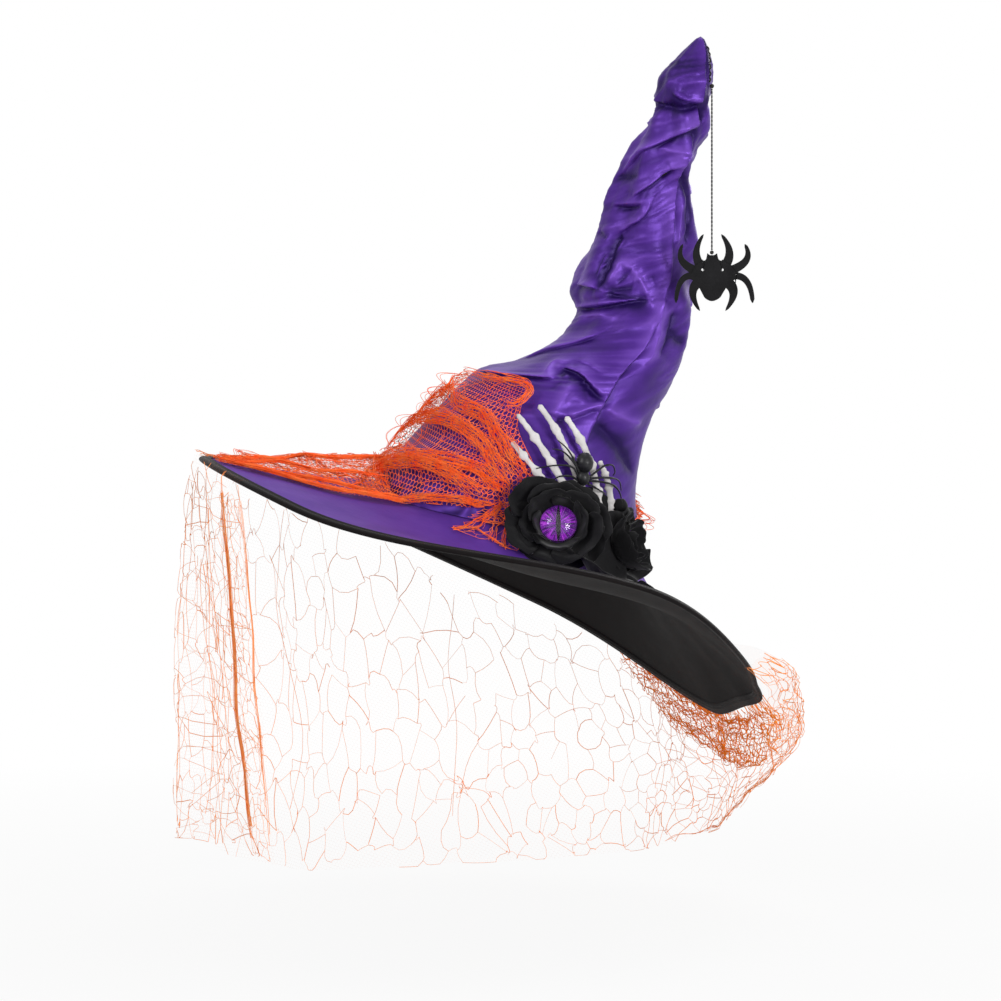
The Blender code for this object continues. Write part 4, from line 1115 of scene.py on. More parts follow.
def make_inside():
    """Lining and sweatband inside the crown."""
    inset = CROWN_WALL + FIT

    def lining_place(u, v):
        angle = ring_angle(u, 96)
        t = LINING_TOP * v
        fold = 0.001 * noise.noise(polar(angle, 4.0, 2.0 * t))
        return crown_point(t, angle, -inset - 0.0005 - abs(fold) - 0.0055 * min(2.0 * t, 1.0))

    bm = laid_grid(96, 40, lining_place)
    scale_uv(bm, 0.6, 0.12)
    merge(bm)
    rim = [edge for edge in bm.edges if edge.is_boundary and edge.verts[0].co.z > 0.06]
    bmesh.ops.contextual_create(bm, geom=rim)
    face_outward(bm)
    thicken(finish_piece("head_lining", bm, LINING, ("crown_lining",)), 0.0006, -1.0)

    band_inset = inset + LINING_WALL + FIT + 0.0004

    def sweatband_place(u, v):
        angle = ring_angle(u, 120)
        if v < 0.1:
            return crown_point(0.0, angle, -band_inset) - CROWN_SEAT * (1.0 - 10.0 * v)
        t = SWEATBAND_RISE * (v - 0.1) / 0.9
        return crown_point(t, angle, -band_inset - 0.0004 * math.sin(math.pi * v))

    bm = laid_grid(120, 16, sweatband_place)
    scale_uv(bm, 0.6, 0.035)
    close_ring(bm)
    thicken(finish_piece("sewn_sweatband", bm, BLACK_CLOTH, ("sweatband",)), SWEATBAND_WALL)


# Net scarf: ground sheets with lace threads on them

# Upper and lower edge of the band: angle (degrees) and ring station
BAND_TOPS = ((-80, 0.5), (-40, 0.34), (0, 0.55), (60, 0.9), (120, 1.35), (160, 1.65), (183, 1.9),
             (200, 2.1), (225, 2.28), (240, 2.38), (247, 2.2), (253, 1.6), (262, 1.32), (272, 1.06),
             (280, 0.62))
BAND_LOWS = ((-80, 0.15), (-40, 0.25), (60, 0.2), (120, 0.08), (183, 0.0), (221, 0.02), (241, 0.16),
             (255, 0.24), (263, 0.36), (272, 0.1), (280, 0.15))
# Folds of the band as rows of angle and ring station, with their height, half width and thread count
BAND_FOLDS = (
    (((191, 1.98), (220, 2.19), (238, 2.33), (248, 2.22), (249, 1.93), (243, 1.82)), 0.0045, 0.0035, 16),
    (((199, 1.72), (217, 1.53), (235, 1.53), (248, 1.38), (260, 1.15), (271, 0.89)), 0.005, 0.006, 26),
    (((183, 0.58), (183, 0.86), (199, 1.1), (224, 1.25), (243, 1.16), (256, 0.94), (267, 0.75)),
     0.006, 0.006, 30),
    (((180, 0.86), (182, 1.29), (195, 1.6), (190, 1.81)), 0.005, 0.006, 18),
    (((183, 0.48), (207, 0.6), (228, 0.74), (248, 0.79), (260, 0.69), (266, 0.6)), 0.005, 0.005, 26),
    (((183, 0.0), (190, 0.19), (201, 0.43), (216, 0.59), (231, 0.64), (246, 0.6), (260, 0.48)),
     0.0065, 0.0055, 30),
    (((183, 0.0), (219, 0.02), (236, 0.23), (250, 0.33), (258, 0.34), (265, 0.36)), 0.003, 0.003, 18),
    (((16, 0.44), (60, 0.6), (120, 0.9), (180, 1.2)), 0.005, 0.0055, 24),
    (((20, 0.58), (60, 0.78), (120, 1.15), (180, 1.55)), 0.005, 0.0055, 24),
    (((18, 0.3), (60, 0.35), (120, 0.45), (180, 0.45)), 0.005, 0.0055, 20),
)
# Metres of flat net to a radian round the crown and to a ring station
BAND_ROUND = 0.088
BAND_RING = 0.042
BAND_LIFT = 0.0012
FINE_THREAD = 0.00019


def smooth_route(route, steps):
    """Rows along a smooth curve through the route."""
    last = len(route) - 1
    rows = []
    for row in range(last):
        near = list(zip(*around(row, route)))
        for step in range(steps + (row == last - 1)):
            rows.append(tuple(catmull(*column, step / steps) for column in near))
    return rows


def on_band(angle, t):
    return (math.radians(angle) * BAND_ROUND, t * BAND_RING)


BAND_LINES = [([on_band(*row) for row in smooth_route(route, 3)], rise, half)
              for route, rise, half, _ in BAND_FOLDS]


def band_fold(angle, t):
    """Height of the band's folds and how tightly the net is gathered there."""
    x, y = on_band(angle, t)
    height = 0.0
    tight = 0.0
    for route, rise, half in BAND_LINES:
        share = math.exp(-(line_side(x, y, route)[0] / half) ** 2)
        height = max(height, 1.4 * rise * share)
        tight = max(tight, share)
    return height, tight


def band_point(angle, t, out=0.0):
    return crown_point(t, math.radians(angle), BAND_LIFT + band_fold(angle, t)[0] + out)


DRAPE_START = 60.0
# Front edge of the drape: share of the way out on the brim and angle
DRAPE_ENDS = ((0.0, 231.0), (0.2, 228.0), (0.42, 222.0), (0.52, 216.0), (0.65, 210.0), (0.85, 204.0),
              (1.0, 197.0))
DRAPE_INNER = CROWN_BASE_RADIUS + 0.004
DRAPE_OUTER = BRIM_RADIUS - 0.009
# Gathered bundles of the drape: route, thread count and spread
DRAPE_BUNDLES = (
    (((0.985, 0.02), (0.99, 0.3), (0.99, 0.6), (0.99, 0.98)), 50, 0.0042),
    (((0.95, 0.02), (0.955, 0.3), (0.96, 0.6), (0.975, 0.97)), 20, 0.006),
    (((0.74, 0.0), (0.76, 0.3), (0.82, 0.6), (0.94, 0.95)), 48, 0.006),
    (((0.85, 0.0), (0.86, 0.3), (0.89, 0.6), (0.95, 0.95)), 22, 0.009),
    (((0.02, 0.05), (0.3, 0.05), (0.6, 0.06), (0.9, 0.05)), 30, 0.006),
    (((0.02, 0.96), (0.3, 0.96), (0.6, 0.96), (0.99, 0.96)), 34, 0.005),
    (((0.6, 0.78), (0.75, 0.8), (0.88, 0.8), (0.99, 0.8)), 20, 0.01),
    (((0.05, 0.5), (0.3, 0.4), (0.6, 0.5), (0.92, 0.4)), 16, 0.008),
)


def drape_angle(u, v):
    start = DRAPE_START + 6.0 * math.sin(7.0 * v)
    return start + (blend_table(DRAPE_ENDS, v) - start) * u


def drape_point(u, v, out=0.0):
    """Net stretched like a tent from the crown's side to the brim's edge, lying low at the back."""
    angle = math.radians(drape_angle(u, v))
    tent = bump(angle, 190.0, 75.0) * (1.0 - u ** 7)
    rest = BRIM_STACK + 0.0016
    low = brim_point(DRAPE_INNER + (DRAPE_OUTER - DRAPE_INNER) * v, angle, rest)
    high = crown_point(0.06 + 0.5 * tent, angle, 0.003).lerp(brim_point(DRAPE_OUTER, angle, rest), v)
    wave = 0.5 + 0.5 * math.sin(FULL_TURN * (7.0 * u + 1.5 * v))
    fold = 0.003 * wave * math.sin(math.pi * v)
    return low.lerp(high, 0.25 + 0.75 * tent) + BRIM_UP * (out + fold)


# Length of the veil below its seat: angle (degrees) and metres
VEIL_LENGTHS = ((-38, 0.02), (0, 0.045), (30, 0.1), (60, 0.175), (90, 0.24), (132, 0.3), (180, 0.284),
                (220, 0.262))
VEIL_START, VEIL_END = -37.0, 219.0
# Share of the veil that lies on the binding before it hangs free
VEIL_FREE = 0.045
VEIL_SEAT = BRIM_STACK + 2.0 * FIT + BINDING_WALL + 0.0004
VEIL_FLARE = 0.06
VEIL_PUFF = 0.023
# Net tucked up under the brim's right end: first angle, angles across and depth
TUCK_START, TUCK_TURN, TUCK_DEPTH = -4.0, 60.0, 0.036
# Rows of strands across the tuck: share down, thread count and spread
TUCK_ROWS = ((0.15, 14, 0.003), (0.4, 8, 0.005), (0.7, 8, 0.005), (0.95, 6, 0.004))
# Upright gathers of the veil: share along, thread count and spread
VEIL_GATHERS = ((0.972, 26, 0.0026), (0.996, 5, 0.0012), (0.945, 1, 0.006), (0.91, 1, 0.008),
                (0.8, 1, 0.005), (0.68, 1, 0.006), (0.52, 1, 0.006), (0.28, 2, 0.01), (0.14, 2, 0.01))


def veil_degrees(u):
    return VEIL_START + (VEIL_END - VEIL_START) * u


def veil_point(u, v, out=0.0, puffed=1.0):
    """Veil from its seat on the binding over the edge and down in soft folds."""
    degrees = veil_degrees(u)
    angle = math.radians(degrees)
    if v < VEIL_FREE:
        return brim_point(BRIM_RADIUS - 0.003 + 0.0075 * v / VEIL_FREE, angle, VEIL_SEAT + out)
    fall = (v - VEIL_FREE) / (1.0 - VEIL_FREE)
    drop = blend_table(VEIL_LENGTHS, degrees) * fall
    turn = brim_point(BRIM_RADIUS + 0.0045, angle, VEIL_SEAT)
    turn -= brim_tuck(angle) * (1.0 - math.exp(-drop / 0.008))
    right = max(math.cos(angle + math.radians(10.0)), 0.0)
    puff = VEIL_PUFF * puffed * right ** 2 * math.sin(math.pi * fall ** 0.7)
    shoulder = 0.002 * bump(angle, 180.0, 60.0) * (1.0 - math.exp(-drop / 0.016))
    grown = min(4.0 * fall, 1.0)
    wave = max(0.0065 * math.cos(12.0 * angle) * grown, -0.03 * drop)
    crumple = 0.004 * noise.noise(Vector((30.0 * u, 5.0 * v, 3.0))) * grown
    flare = (VEIL_FLARE - 0.035 * bump(angle, 190.0, 100.0)) * drop + puff + shoulder + wave + crumple
    swing = 0.038 * bump(angle, 210.0, 30.0) * fall
    return turn + polar(angle) * (flare + out) + Vector((swing, 0.0, -drop))


def ground_sheet(name, columns, rows, place, mat, flat_place, replaced, tightness):
    """Net ground as one fine sheet: its lace lies by the flat cloth and thickens with its density."""
    bm = laid_grid(columns, rows, lambda u, v: (place(u, v), tightness(u, v)), "density")
    cloth = bm.loops.layers.uv.active
    for face in bm.faces:
        for loop in face.loops:
            loop[cloth].uv = flat_place(*loop[cloth].uv)
    return finish_piece(name, bm, mat, replaced)


def strands(surface, route, count, spread, radius, rise, dice):
    """Bundle of wandering threads along a route of surface coordinates."""
    rows = smooth_route(route, 7)
    points = [surface(*row) for row in rows]
    normals = [(surface(*row, 0.002) - point).normalized() for row, point in zip(rows, points)]
    end = len(rows) - 1
    lines = []
    for _ in range(count):
        side = dice.uniform(-1.0, 1.0)
        lift = dice.uniform(0.0, rise)
        phase = dice.uniform(0.0, 90.0)
        first = dice.randrange(0, max(len(rows) // 3, 1))
        last = len(rows) - dice.randrange(0, max(len(rows) // 4, 1))
        line = []
        for k in range(first, last):
            along = (points[min(k + 1, end)] - points[max(k - 1, 0)]).normalized()
            across = along.cross(normals[k])
            sway = noise.noise(Vector((phase, 0.2 * k, 0.0)))
            hop = noise.noise(Vector((phase, 0.28 * k, 9.0)))
            point = points[k] + across * spread * (0.8 * side + 0.7 * sway)
            line.append((point + normals[k] * (lift + 0.4 * rise * hop), radius * dice.uniform(0.75, 1.25)))
        lines.append(line)
    return lines


def cell_corner(a, b, c):
    """Point as far from each of three seeds as from the others, where three cells meet."""
    double = 2.0 * (a.x * (b.y - c.y) + b.x * (c.y - a.y) + c.x * (a.y - b.y))
    if abs(double) < 1e-9:
        return None
    turns = ((a, b, c), (b, c, a), (c, a, b))
    x = sum(p.length_squared * (q.y - r.y) for p, q, r in turns) / double
    y = sum(p.length_squared * (r.x - q.x) for p, q, r in turns) / double
    return Vector((x, y))


def cell_corners(seeds, knots):
    """Corners of the cells round the seeds, drawn to the knots, and the pairs of them that share a border."""
    spots, _, faces = delaunay_2d_cdt(seeds, [], [], 0, 1e-6)[:3]
    corners = []
    sides = {}
    for number, face in enumerate(faces):
        corner = cell_corner(*(spots[k] for k in face))
        if corner:
            ways = [spot - corner for spot in knots]
            pulls = [way * 0.55 * math.exp(-way.length_squared / 1.6) for way in ways]
            corner = corner + sum(pulls, Vector((0.0, 0.0)))
        corners.append(corner)
        for k in range(3):
            sides.setdefault(frozenset((face[k], face[k - 1])), []).append(number)
    return [[corners[number] for number in pair] for pair in sides.values()]


def web(place, size, cell, dice, drop, radius, lift=0.0004, keep=None):
    """Irregular lace on a cloth of the given size: bowed borders of cells round scattered seeds."""
    wide, tall = size[0] / cell[0], size[1] / cell[1]
    seeds = [Vector((i + dice.uniform(-0.48, 0.48), j + dice.uniform(-0.48, 0.48)))
             for i in range(-1, int(wide) + 3) for j in range(-1, int(tall) + 3) if dice.random() < 0.8]
    knots = [Vector((dice.uniform(0.0, wide), dice.uniform(0.0, tall)))
             for _ in range(int(wide * tall / 14.0) + 1)]
    lines = []
    for ends in cell_corners(seeds, knots):
        if len(ends) < 2 or None in ends or (ends[0] - ends[1]).length > 2.5 or dice.random() < drop:
            continue
        if not all(0.0 < end.x < wide and -0.4 < end.y < tall + 0.4 for end in ends):
            continue
        if keep and not keep(ends[0].x / wide, ends[0].y / tall):
            continue
        bow = Vector((dice.uniform(-0.2, 0.2), dice.uniform(-0.2, 0.2)))
        thick = radius * dice.choice((0.6, 0.8, 0.8, 1.0, 1.0, 1.5))
        line = []
        for k in range(4):
            spot = ends[0].lerp(ends[1], k / 3.0) + bow * math.sin(math.pi * k / 3.0)
            line.append((place(limit(spot.x / wide), limit(spot.y / tall), lift), thick))
        lines.append(line)
    return lines


def loops(surface, spots, dice, height, radius):
    """Loose loops of thread standing off a surface, each from one spot to the next."""
    lines = []
    for (a1, b1), (a2, b2) in spots:
        for _ in range(2):
            high = height * dice.uniform(0.6, 1.1)
            lean = dice.uniform(-0.3, 0.3)
            line = []
            for k in range(15):
                f = k / 14.0
                hump = math.sin(math.pi * f)
                a = a1 + (a2 - a1) * f + lean * hump * (a2 - a1)
                line.append((surface(a, b1 + (b2 - b1) * f, high * hump), radius))
            lines.append(line)
    return lines


def band_spot(u, v):
    """Angle and ring station of the band's own coordinates."""
    angle = -80.0 + 360.0 * u
    low = blend_table(BAND_LOWS, angle)
    return angle, low + (blend_table(BAND_TOPS, angle) - low) * v


def band_place(u, v, out=0.0):
    return band_point(*band_spot(u, v), out)


# Frayed lower corner of the band: routes of angle and ring station, or below 0 the share of the brim,
# with thread count and spread
BAND_CORNER = (
    (((267, 0.46), (264, 0.25), (260, 0.02), (258, -0.06), (255, -0.135)), 8, 0.0024),
    (((267, 0.44), (265, 0.22), (263, 0.0), (262, -0.04), (260, -0.09)), 5, 0.0036),
    (((268, 0.42), (268, 0.2), (268, 0.0), (269, -0.06), (269, -0.11)), 6, 0.004),
    (((269, 0.4), (271, 0.15), (272, 0.0), (273, -0.08), (274, -0.135)), 8, 0.003),
    (((256, -0.11), (261, -0.05), (266, -0.07), (270, -0.09), (274, -0.12)), 5, 0.003),
)


# Ends of the loose loops on the band's left side and on its right
BAND_LOOPS = (
    ((186, 1.05), (188, 1.35)), ((190, 1.35), (190, 1.62)), ((192, 1.6), (190, 1.9)),
    ((184, 0.6), (186, 0.9)), ((185, 0.8), (186, 1.1)), ((200, 2.05), (190, 1.8)), ((188, 1.2), (189, 1.5)),
    ((215, 2.2), (196, 2.0)), ((352, 0.3), (358, 0.6)), ((346, 0.15), (352, 0.45)), ((355, 0.4), (350, 0.65)),
    ((4, 0.3), (0, 0.6)),
)
BAND_CLOTH = (0.55, 0.06)
CORNER_CLOTH = (0.03, 0.045)
DRAPE_CLOTH = (0.42, 0.115)
TUCK_CLOTH = (0.23, TUCK_DEPTH)


def corner_point(angle, t, out=0.0):
    if t > 0.0:
        return crown_point(t, math.radians(angle), 0.003 + out)
    radius = CROWN_BASE_RADIUS + 0.003 - t * BRIM_WIDTH
    return brim_point(radius, math.radians(angle), BRIM_STACK + 0.0022 + out)


def corner_place(u, v, out=0.0):
    return corner_point(268.0 + (12.0 + 14.0 * v) * (u - 0.55), 0.46 - 0.58 * v, out)


def band_tightness(u, v):
    return band_fold(*band_spot(u, v))[1]


def make_band(dice):
    band = ground_sheet("net_scarf_band", 300, 40, band_place, NET, lambda u, v: on_band(*band_spot(u, v)),
                        ("net_band",), lambda u, v: 0.02 + 0.75 * band_tightness(u, v) ** 1.5)
    lines = []
    for route, _, half, count in BAND_FOLDS:
        lines += strands(band_point, route, round(1.3 * count), 1.1 * half, FINE_THREAD, 0.0022, dice)
    gathers = threads("net_band_gathers", lines, ORANGE_YARN)
    lines = web(band_place, BAND_CLOTH, (0.012, 0.008), dice, 0.25, FINE_THREAD, 0.0008)
    lines += web(band_place, BAND_CLOTH, (0.006, 0.004), dice, 0.1, 0.9 * FINE_THREAD, 0.0018,
                 lambda u, v: band_tightness(u, v) > 0.45)
    lines += web(corner_place, CORNER_CLOTH, (0.004, 0.0034), dice, 0.08, 0.9 * FINE_THREAD, 0.0006)
    lace_web = threads("net_band_web", lines, ORANGE_YARN)
    lines = loops(band_point, BAND_LOOPS, dice, 0.012, FINE_THREAD)
    for route, count, spread in BAND_CORNER:
        lines += strands(corner_point, route, count, spread, FINE_THREAD, 0.0016, dice)
    loose = threads("net_band_loops", lines, ORANGE_YARN)


def make_drape(dice):
    def flat_place(u, v):
        radius = CROWN_BASE_RADIUS + (DRAPE_OUTER - CROWN_BASE_RADIUS) * v
        return math.radians(drape_angle(u, v)) * 0.16, radius

    drape = ground_sheet("net_scarf_drape", 120, 40, drape_point, NET, flat_place, ("net_brim_drape",),
                         lambda u, v: 0.05 + 0.5 * math.exp(-v / 0.05) + 0.7 * math.exp((u - 1.0) / 0.03))
    lines = []
    for route, count, spread in DRAPE_BUNDLES:
        lines += strands(drape_point, route, count, spread, FINE_THREAD, 0.0025, dice)
    gathers = threads("net_drape_gathers", lines, ORANGE_YARN)
    lines = web(drape_point, DRAPE_CLOTH, (0.013, 0.01), dice, 0.08, 1.3 * FINE_THREAD, 0.0012)
    lines += web(drape_point, DRAPE_CLOTH, (0.0075, 0.006), dice, 0.1, FINE_THREAD)
    lace_web = threads("net_drape_web", lines, ORANGE_YARN)


def veil_flat(u, v):
    """Place on the flat cloth of the veil."""
    degrees = veil_degrees(u)
    return math.radians(degrees) * 0.235, v * blend_table(VEIL_LENGTHS, degrees)


def tuck_density(u, v):
    """How closely the net lies where it is tucked up under the brim's right end."""
    angle = math.radians(veil_degrees(u))
    return 0.85 * bump(angle, 32.0, 34.0) ** 0.6 * max(1.0 - veil_flat(u, v)[1] / 0.044, 0.0) ** 0.4


def tuck_point(u, v, out=0.0):
    degrees = TUCK_START + TUCK_TURN * u
    share = 0.5 * VEIL_FREE + TUCK_DEPTH * v / blend_table(VEIL_LENGTHS, degrees)
    return veil_point((degrees - VEIL_START) / (VEIL_END - VEIL_START), min(share, 1.0), out, 0.2)


def in_tuck(u, v):
    return v < 1.1 - 3.0 * max(u - 0.72, 0.0) - 3.0 * max(0.2 - u, 0.0)


def past_edge(u, v):
    return v > 0.04


def past_corner(u, v):
    return v > (0.3 if u < 0.12 else 0.04)


def past_right_end(u, v):
    return v > min(0.04 + 1.5 * max(0.36 - u, 0.0), 0.3)


def veil_stretch(start, length):
    """Placing on a stretch of the veil's free fall, between shares of its way round the brim."""
    def place(u, v, out=0.0):
        return veil_point(start + length * u, VEIL_FREE + (1.0 - VEIL_FREE) * v, out)

    return place


def make_veil(dice):
    veil = ground_sheet("net_veil", 260, 44, veil_point, VEIL_NET, veil_flat,
                        ("veil_left", "veil_back", "veil_right"), tuck_density)
    left = veil_stretch(0.84, 0.16)
    lines = []
    for place, size, cell, thread, lift, keep in (
            (veil_stretch(0.0, 0.86), (0.86, 0.27), (0.014, 0.024), 0.95, 0.0004, past_corner),
            (veil_stretch(0.968, 0.03), (0.034, 0.27), (0.0065, 0.0085), 0.85, 0.001, past_edge),
            (left, (0.16, 0.27), (0.03, 0.015), 0.85, 0.003, past_edge),
            (left, (0.16, 0.27), (0.044, 0.022), 1.0, 0.001, past_edge)):
        lines += web(place, size, cell, dice, 0.05, thread * FINE_THREAD, lift, keep)
    # Veil lace in the paler yarn, partly lightened as painted light for the brim's shade
    lace_web = threads("net_veil_web", lines, PALE_AND_LIGHTENED_YARN)
    right = veil_stretch(0.0, 0.34)
    lines = web(right, (0.34, 0.09), (0.012, 0.012), dice, 0.06, FINE_THREAD, 0.003, past_right_end)
    lines += web(tuck_point, TUCK_CLOTH, (0.004, 0.0034), dice, 0.06, 1.4 * FINE_THREAD, 0.001, in_tuck)
    lines += web(tuck_point, TUCK_CLOTH, (0.0075, 0.0062), dice, 0.02, 2.0 * FINE_THREAD, 0.004, in_tuck)
    for v, count, spread in TUCK_ROWS:
        route = [(0.02 + 0.18 * v + (0.97 - 0.4 * v) * k / 18.0, v + 0.05 * math.sin(2.1 * k))
                 for k in range(19)]
        lines += strands(tuck_point, route, count, spread, 1.2 * FINE_THREAD, 0.004, dice)
    # The tucks take the yarn lightened as painted light for the brim's shade
    tucks = threads("net_veil_tucks", lines, SHADE_LIGHTENED_YARN)
    lines = []
    for u, count, spread in VEIL_GATHERS:
        bend = dice.uniform(0.002, 0.004) if u > 0.9 else dice.uniform(-0.03, 0.03)
        route = ((u, 0.03), (u + bend, 0.35), (u - bend, 0.65), (u, 0.96))
        lines += strands(veil_point, route, count, spread, FINE_THREAD, 0.001, dice)
    hem = [(0.07 + 0.24 * k / 16.0, 0.985 - 0.02 * (k % 2)) for k in range(17)]
    lines += strands(veil_point, hem, 6, 0.0016, FINE_THREAD, 0.001, dice)
    seat = [(0.17 + 0.71 * k / 30.0, 0.03 + 0.012 * (k % 2)) for k in range(31)]
    lines += strands(veil_point, seat, 30, 0.004, FINE_THREAD, 0.002, dice)
    # Veil gathers in the paler yarn, partly lightened as painted light for the brim's shade
    gathers = threads("net_veil_gathers", lines, PALE_AND_LIGHTENED_YARN)


def make_net():
    dice = random.Random(31)
    make_band(dice)
    make_drape(dice)
    make_veil(dice)


# Rose trim, hand and plastic spider

BACKING_STANDOFF = 0.005 + 0.0006 + 2.0 * FIT
BACKING_WALL = 0.002
HAND_STANDOFF = BACKING_STANDOFF + BACKING_WALL + 0.0007
HAND_WALL = 0.002
ROSE_STANDOFF = HAND_STANDOFF + HAND_WALL + FIT
ROSE_WALL = 0.001
ROSE_CENTRE = (0.0395, -0.009)
ROSE_AXIS = (-0.03, -0.97, 0.2)
ROSE_RISE = 0.0019
SMALL_ROSE_CENTRE = (0.083, -0.08, -0.024)
SMALL_ROSE_AXIS = (0.86, -0.45, 0.12)
EYE_RADIUS = 0.0132
EYE_DOME = 0.007
EYE_BACK_WALL = 0.0012
EYE_SEGMENTS = 64
PETAL_WALL = 0.0008
BUD_WALL = 0.0005
BUD_RADIUS = 0.0043
# Petal rings: node, petals, floor radius, rim radius, height, turn (degrees) and squash
PETAL_RINGS = (
    ("rose_outer_petals", 6, 0.015, 0.0425, 0.015, 0.0, 0.83),
    ("rose_middle_petals", 5, 0.014, 0.034, 0.022, 23.0, 0.83),
    ("rose_inner_petals", 5, 0.013, 0.0235, 0.02, 57.0, 1.0),
)
SMALL_PETAL_RINGS = (
    ("small_rose_outer_petals", 5, 0.013, 0.029, 0.017, 0.0, 1.0),
    ("small_rose_inner_petals", 5, 0.013, 0.0215, 0.017, 34.0, 1.0),
)
# Fingers of the hand in millimetres: root, bend, tip and half width
FINGERS = (
    ((45.0, 4.0), (22.1, 32.0), (6.7, 50.0), 2.9),
    ((53.0, 0.0), (37.2, 36.1), (10.6, 69.7), 3.1),
    ((60.0, -4.0), (51.5, 43.9), (25.9, 76.2), 3.1),
    ((69.0, -4.0), (69.1, 36.1), (44.8, 67.8), 3.1),
    ((77.0, -2.0), (79.0, 18.7), (69.0, 36.6), 2.9),
)
FINGER_STEPS = 60
PALM = ((44.0, -4.0), (62.0, -11.0), (79.0, -6.0))
# Bodies of the plastic spider: x and z, half sizes, rise off the hand and depth of the ribs
PLASTIC_BODIES = (
    (58.2, 35.2, (6.2, 6.0, 7.4), 6.5, 0.022),
    (57.0, 24.6, (4.8, 4.2, 5.8), 4.8, 0.0),
)
PLASTIC_LEGS = (
    ((60.7, 24.5), (70.7, 32.0), (74.1, 33.5), (78.6, 33.5), (80.4, 29.0), (79.1, 26.5)),
    ((61.2, 24.0), (69.7, 24.7), (79.6, 24.3), (84.0, 21.6), (85.3, 15.6)),
    ((61.2, 22.5), (71.6, 21.6), (79.6, 19.1), (84.0, 14.1), (85.5, 6.7), (84.3, -2.2)),
    ((60.2, 20.6), (66.7, 17.1), (74.1, 13.1)),
    ((55.3, 26.5), (52.8, 32.5), (48.8, 40.4), (44.9, 45.9), (39.4, 50.8)),
    ((54.3, 27.5), (50.3, 35.4), (42.9, 42.9), (35.4, 44.9)),
    ((53.8, 25.0), (49.3, 32.0), (38.4, 33.3), (24.0, 31.0)),
    ((52.8, 23.0), (47.8, 25.7), (39.9, 25.3), (35.9, 22.5)),
)


def trim_frame(centre, axis):
    """Local frame of a flower: its Z is the axis, its Y points up."""
    forward = Vector(axis).normalized()
    side = Vector((0.0, 0.0, 1.0)).cross(forward).normalized()
    frame_at = Matrix((side, forward.cross(side), forward)).transposed().to_4x4()
    frame_at.translation = centre
    return frame_at


def petal_place(ring, frame_at, floor, hood, number, dice):
    """Placing of one petal, cupped at its foot and rolled back at its lip."""
    _, petals, base, rim, height, turn, squash = ring
    middle = FULL_TURN * (number + dice.uniform(-0.16, 0.16)) / petals + math.radians(turn)
    spread = FULL_TURN / petals * dice.uniform(0.66, 0.9)
    grow = dice.uniform(0.78, 1.06)
    phase = dice.uniform(0.0, 50.0)
    tilt = dice.uniform(0.65, 1.25)
    facing = frame_at.to_3x3().transposed() @ Vector((0.0, -1.0, 0.0))
    hooded = hood * max(math.cos(middle - math.atan2(facing.y, facing.x)), 0.0) ** 2

    def place(u, v):
        across = 2.0 * u - 1.0
        lobe = math.sqrt(max(1.0 - (0.92 * across) ** 2, 0.0))
        opened = math.sin(0.5 * math.pi * min(1.5 * v + 0.15, 1.0))
        angle = middle + across * spread * (0.45 + 0.55 * opened)
        radius = base * (1.0 - 0.1 * (1.0 - v) ** 2) + (rim * grow - base) * v * (0.5 + 0.5 * lobe)
        ruffle = noise.noise(Vector((phase, 3.0 * across, 1.6 * v)))
        fine = noise.noise(Vector((phase, 8.0 * across, 4.0 * v)))
        ragged = noise.noise(Vector((phase, 4.5 * across, 20.0)))
        radius *= 1.0 + (0.1 * ragged - 0.05) * v * v
        radius -= 0.35 * hooded * radius * v
        lip = max(v - 0.68, 0.0) / 0.32 * (1.0 - hooded)
        lift = floor + (tilt + hooded) * height * v ** 1.5 * (0.62 + 0.38 * lobe) - 0.3 * height * lip * lip
        lift += 0.0034 * across * v + (0.0085 * ruffle + 0.0028 * fine) * v * v
        lift -= 0.0016 * math.exp(-(across / 0.16) ** 2) * v
        low = squash + (0.98 - squash) * max(-math.sin(angle), 0.0)
        return frame_at @ Vector((radius * math.cos(angle), low * radius * math.sin(angle), lift))

    return place


def petal_ring(ring, frame_at, floor, hood):
    """Overlapping cloth petals."""
    node, petals = ring[:2]
    dice = random.Random(node)
    grids = [laid_grid(16, 12, petal_place(ring, frame_at, floor, hood, number, dice))
             for number in range(petals)]
    made = finish_piece(node.replace("_petals", "_cloth_petals"), join_grids(grids), PETALS, (node,))
    thicken(made, PETAL_WALL)
    subdivide(made)


def make_eye(name, frame_at, floor):
    """Foil iris disc with a polished glass dome on it."""
    bm = bmesh.new()
    bm.loops.layers.uv.new("UVMap")
    top = floor + EYE_BACK_WALL
    bmesh.ops.create_circle(bm, cap_ends=True, cap_tris=True, segments=EYE_SEGMENTS, calc_uvs=True,
                            radius=EYE_RADIUS - 0.0002, matrix=Matrix.Translation((0.0, 0.0, top)))
    low = bmesh.ops.extrude_face_region(bm, geom=bm.faces[:], use_keep_orig=True)
    bmesh.ops.translate(bm, verts=corners_of(low), vec=(0.0, 0.0, -EYE_BACK_WALL))
    face_outward(bm)
    bmesh.ops.transform(bm, matrix=frame_at, verts=bm.verts)
    finish_piece(name + "_iris_disc", bm, IRIS, (name + "_iris_back",), smooth=False)

    bm = bmesh.new()
    dome_floor = top + FIT
    profile = [bm.verts.new((0.0, 0.0, dome_floor)), bm.verts.new((EYE_RADIUS - 0.0004, 0.0, dome_floor))]
    for k in range(16):
        a = 0.5 * math.pi * (k + 0.6) / 15.6
        profile.append(bm.verts.new((EYE_RADIUS * math.cos(a), 0.0, dome_floor + EYE_DOME * math.sin(a))))
    edges = [bm.edges.new(pair) for pair in zip(profile, profile[1:])]
    bmesh.ops.spin(bm, geom=profile + edges, cent=(0, 0, 0), axis=(0, 0, 1), angle=FULL_TURN,
                   steps=EYE_SEGMENTS, use_merge=True)
    close_ring(bm)
    bmesh.ops.transform(bm, matrix=frame_at, verts=bm.verts)
    finish_piece(name + "_glass_cabochon", bm, GLASS, (name + "_glass_dome",))


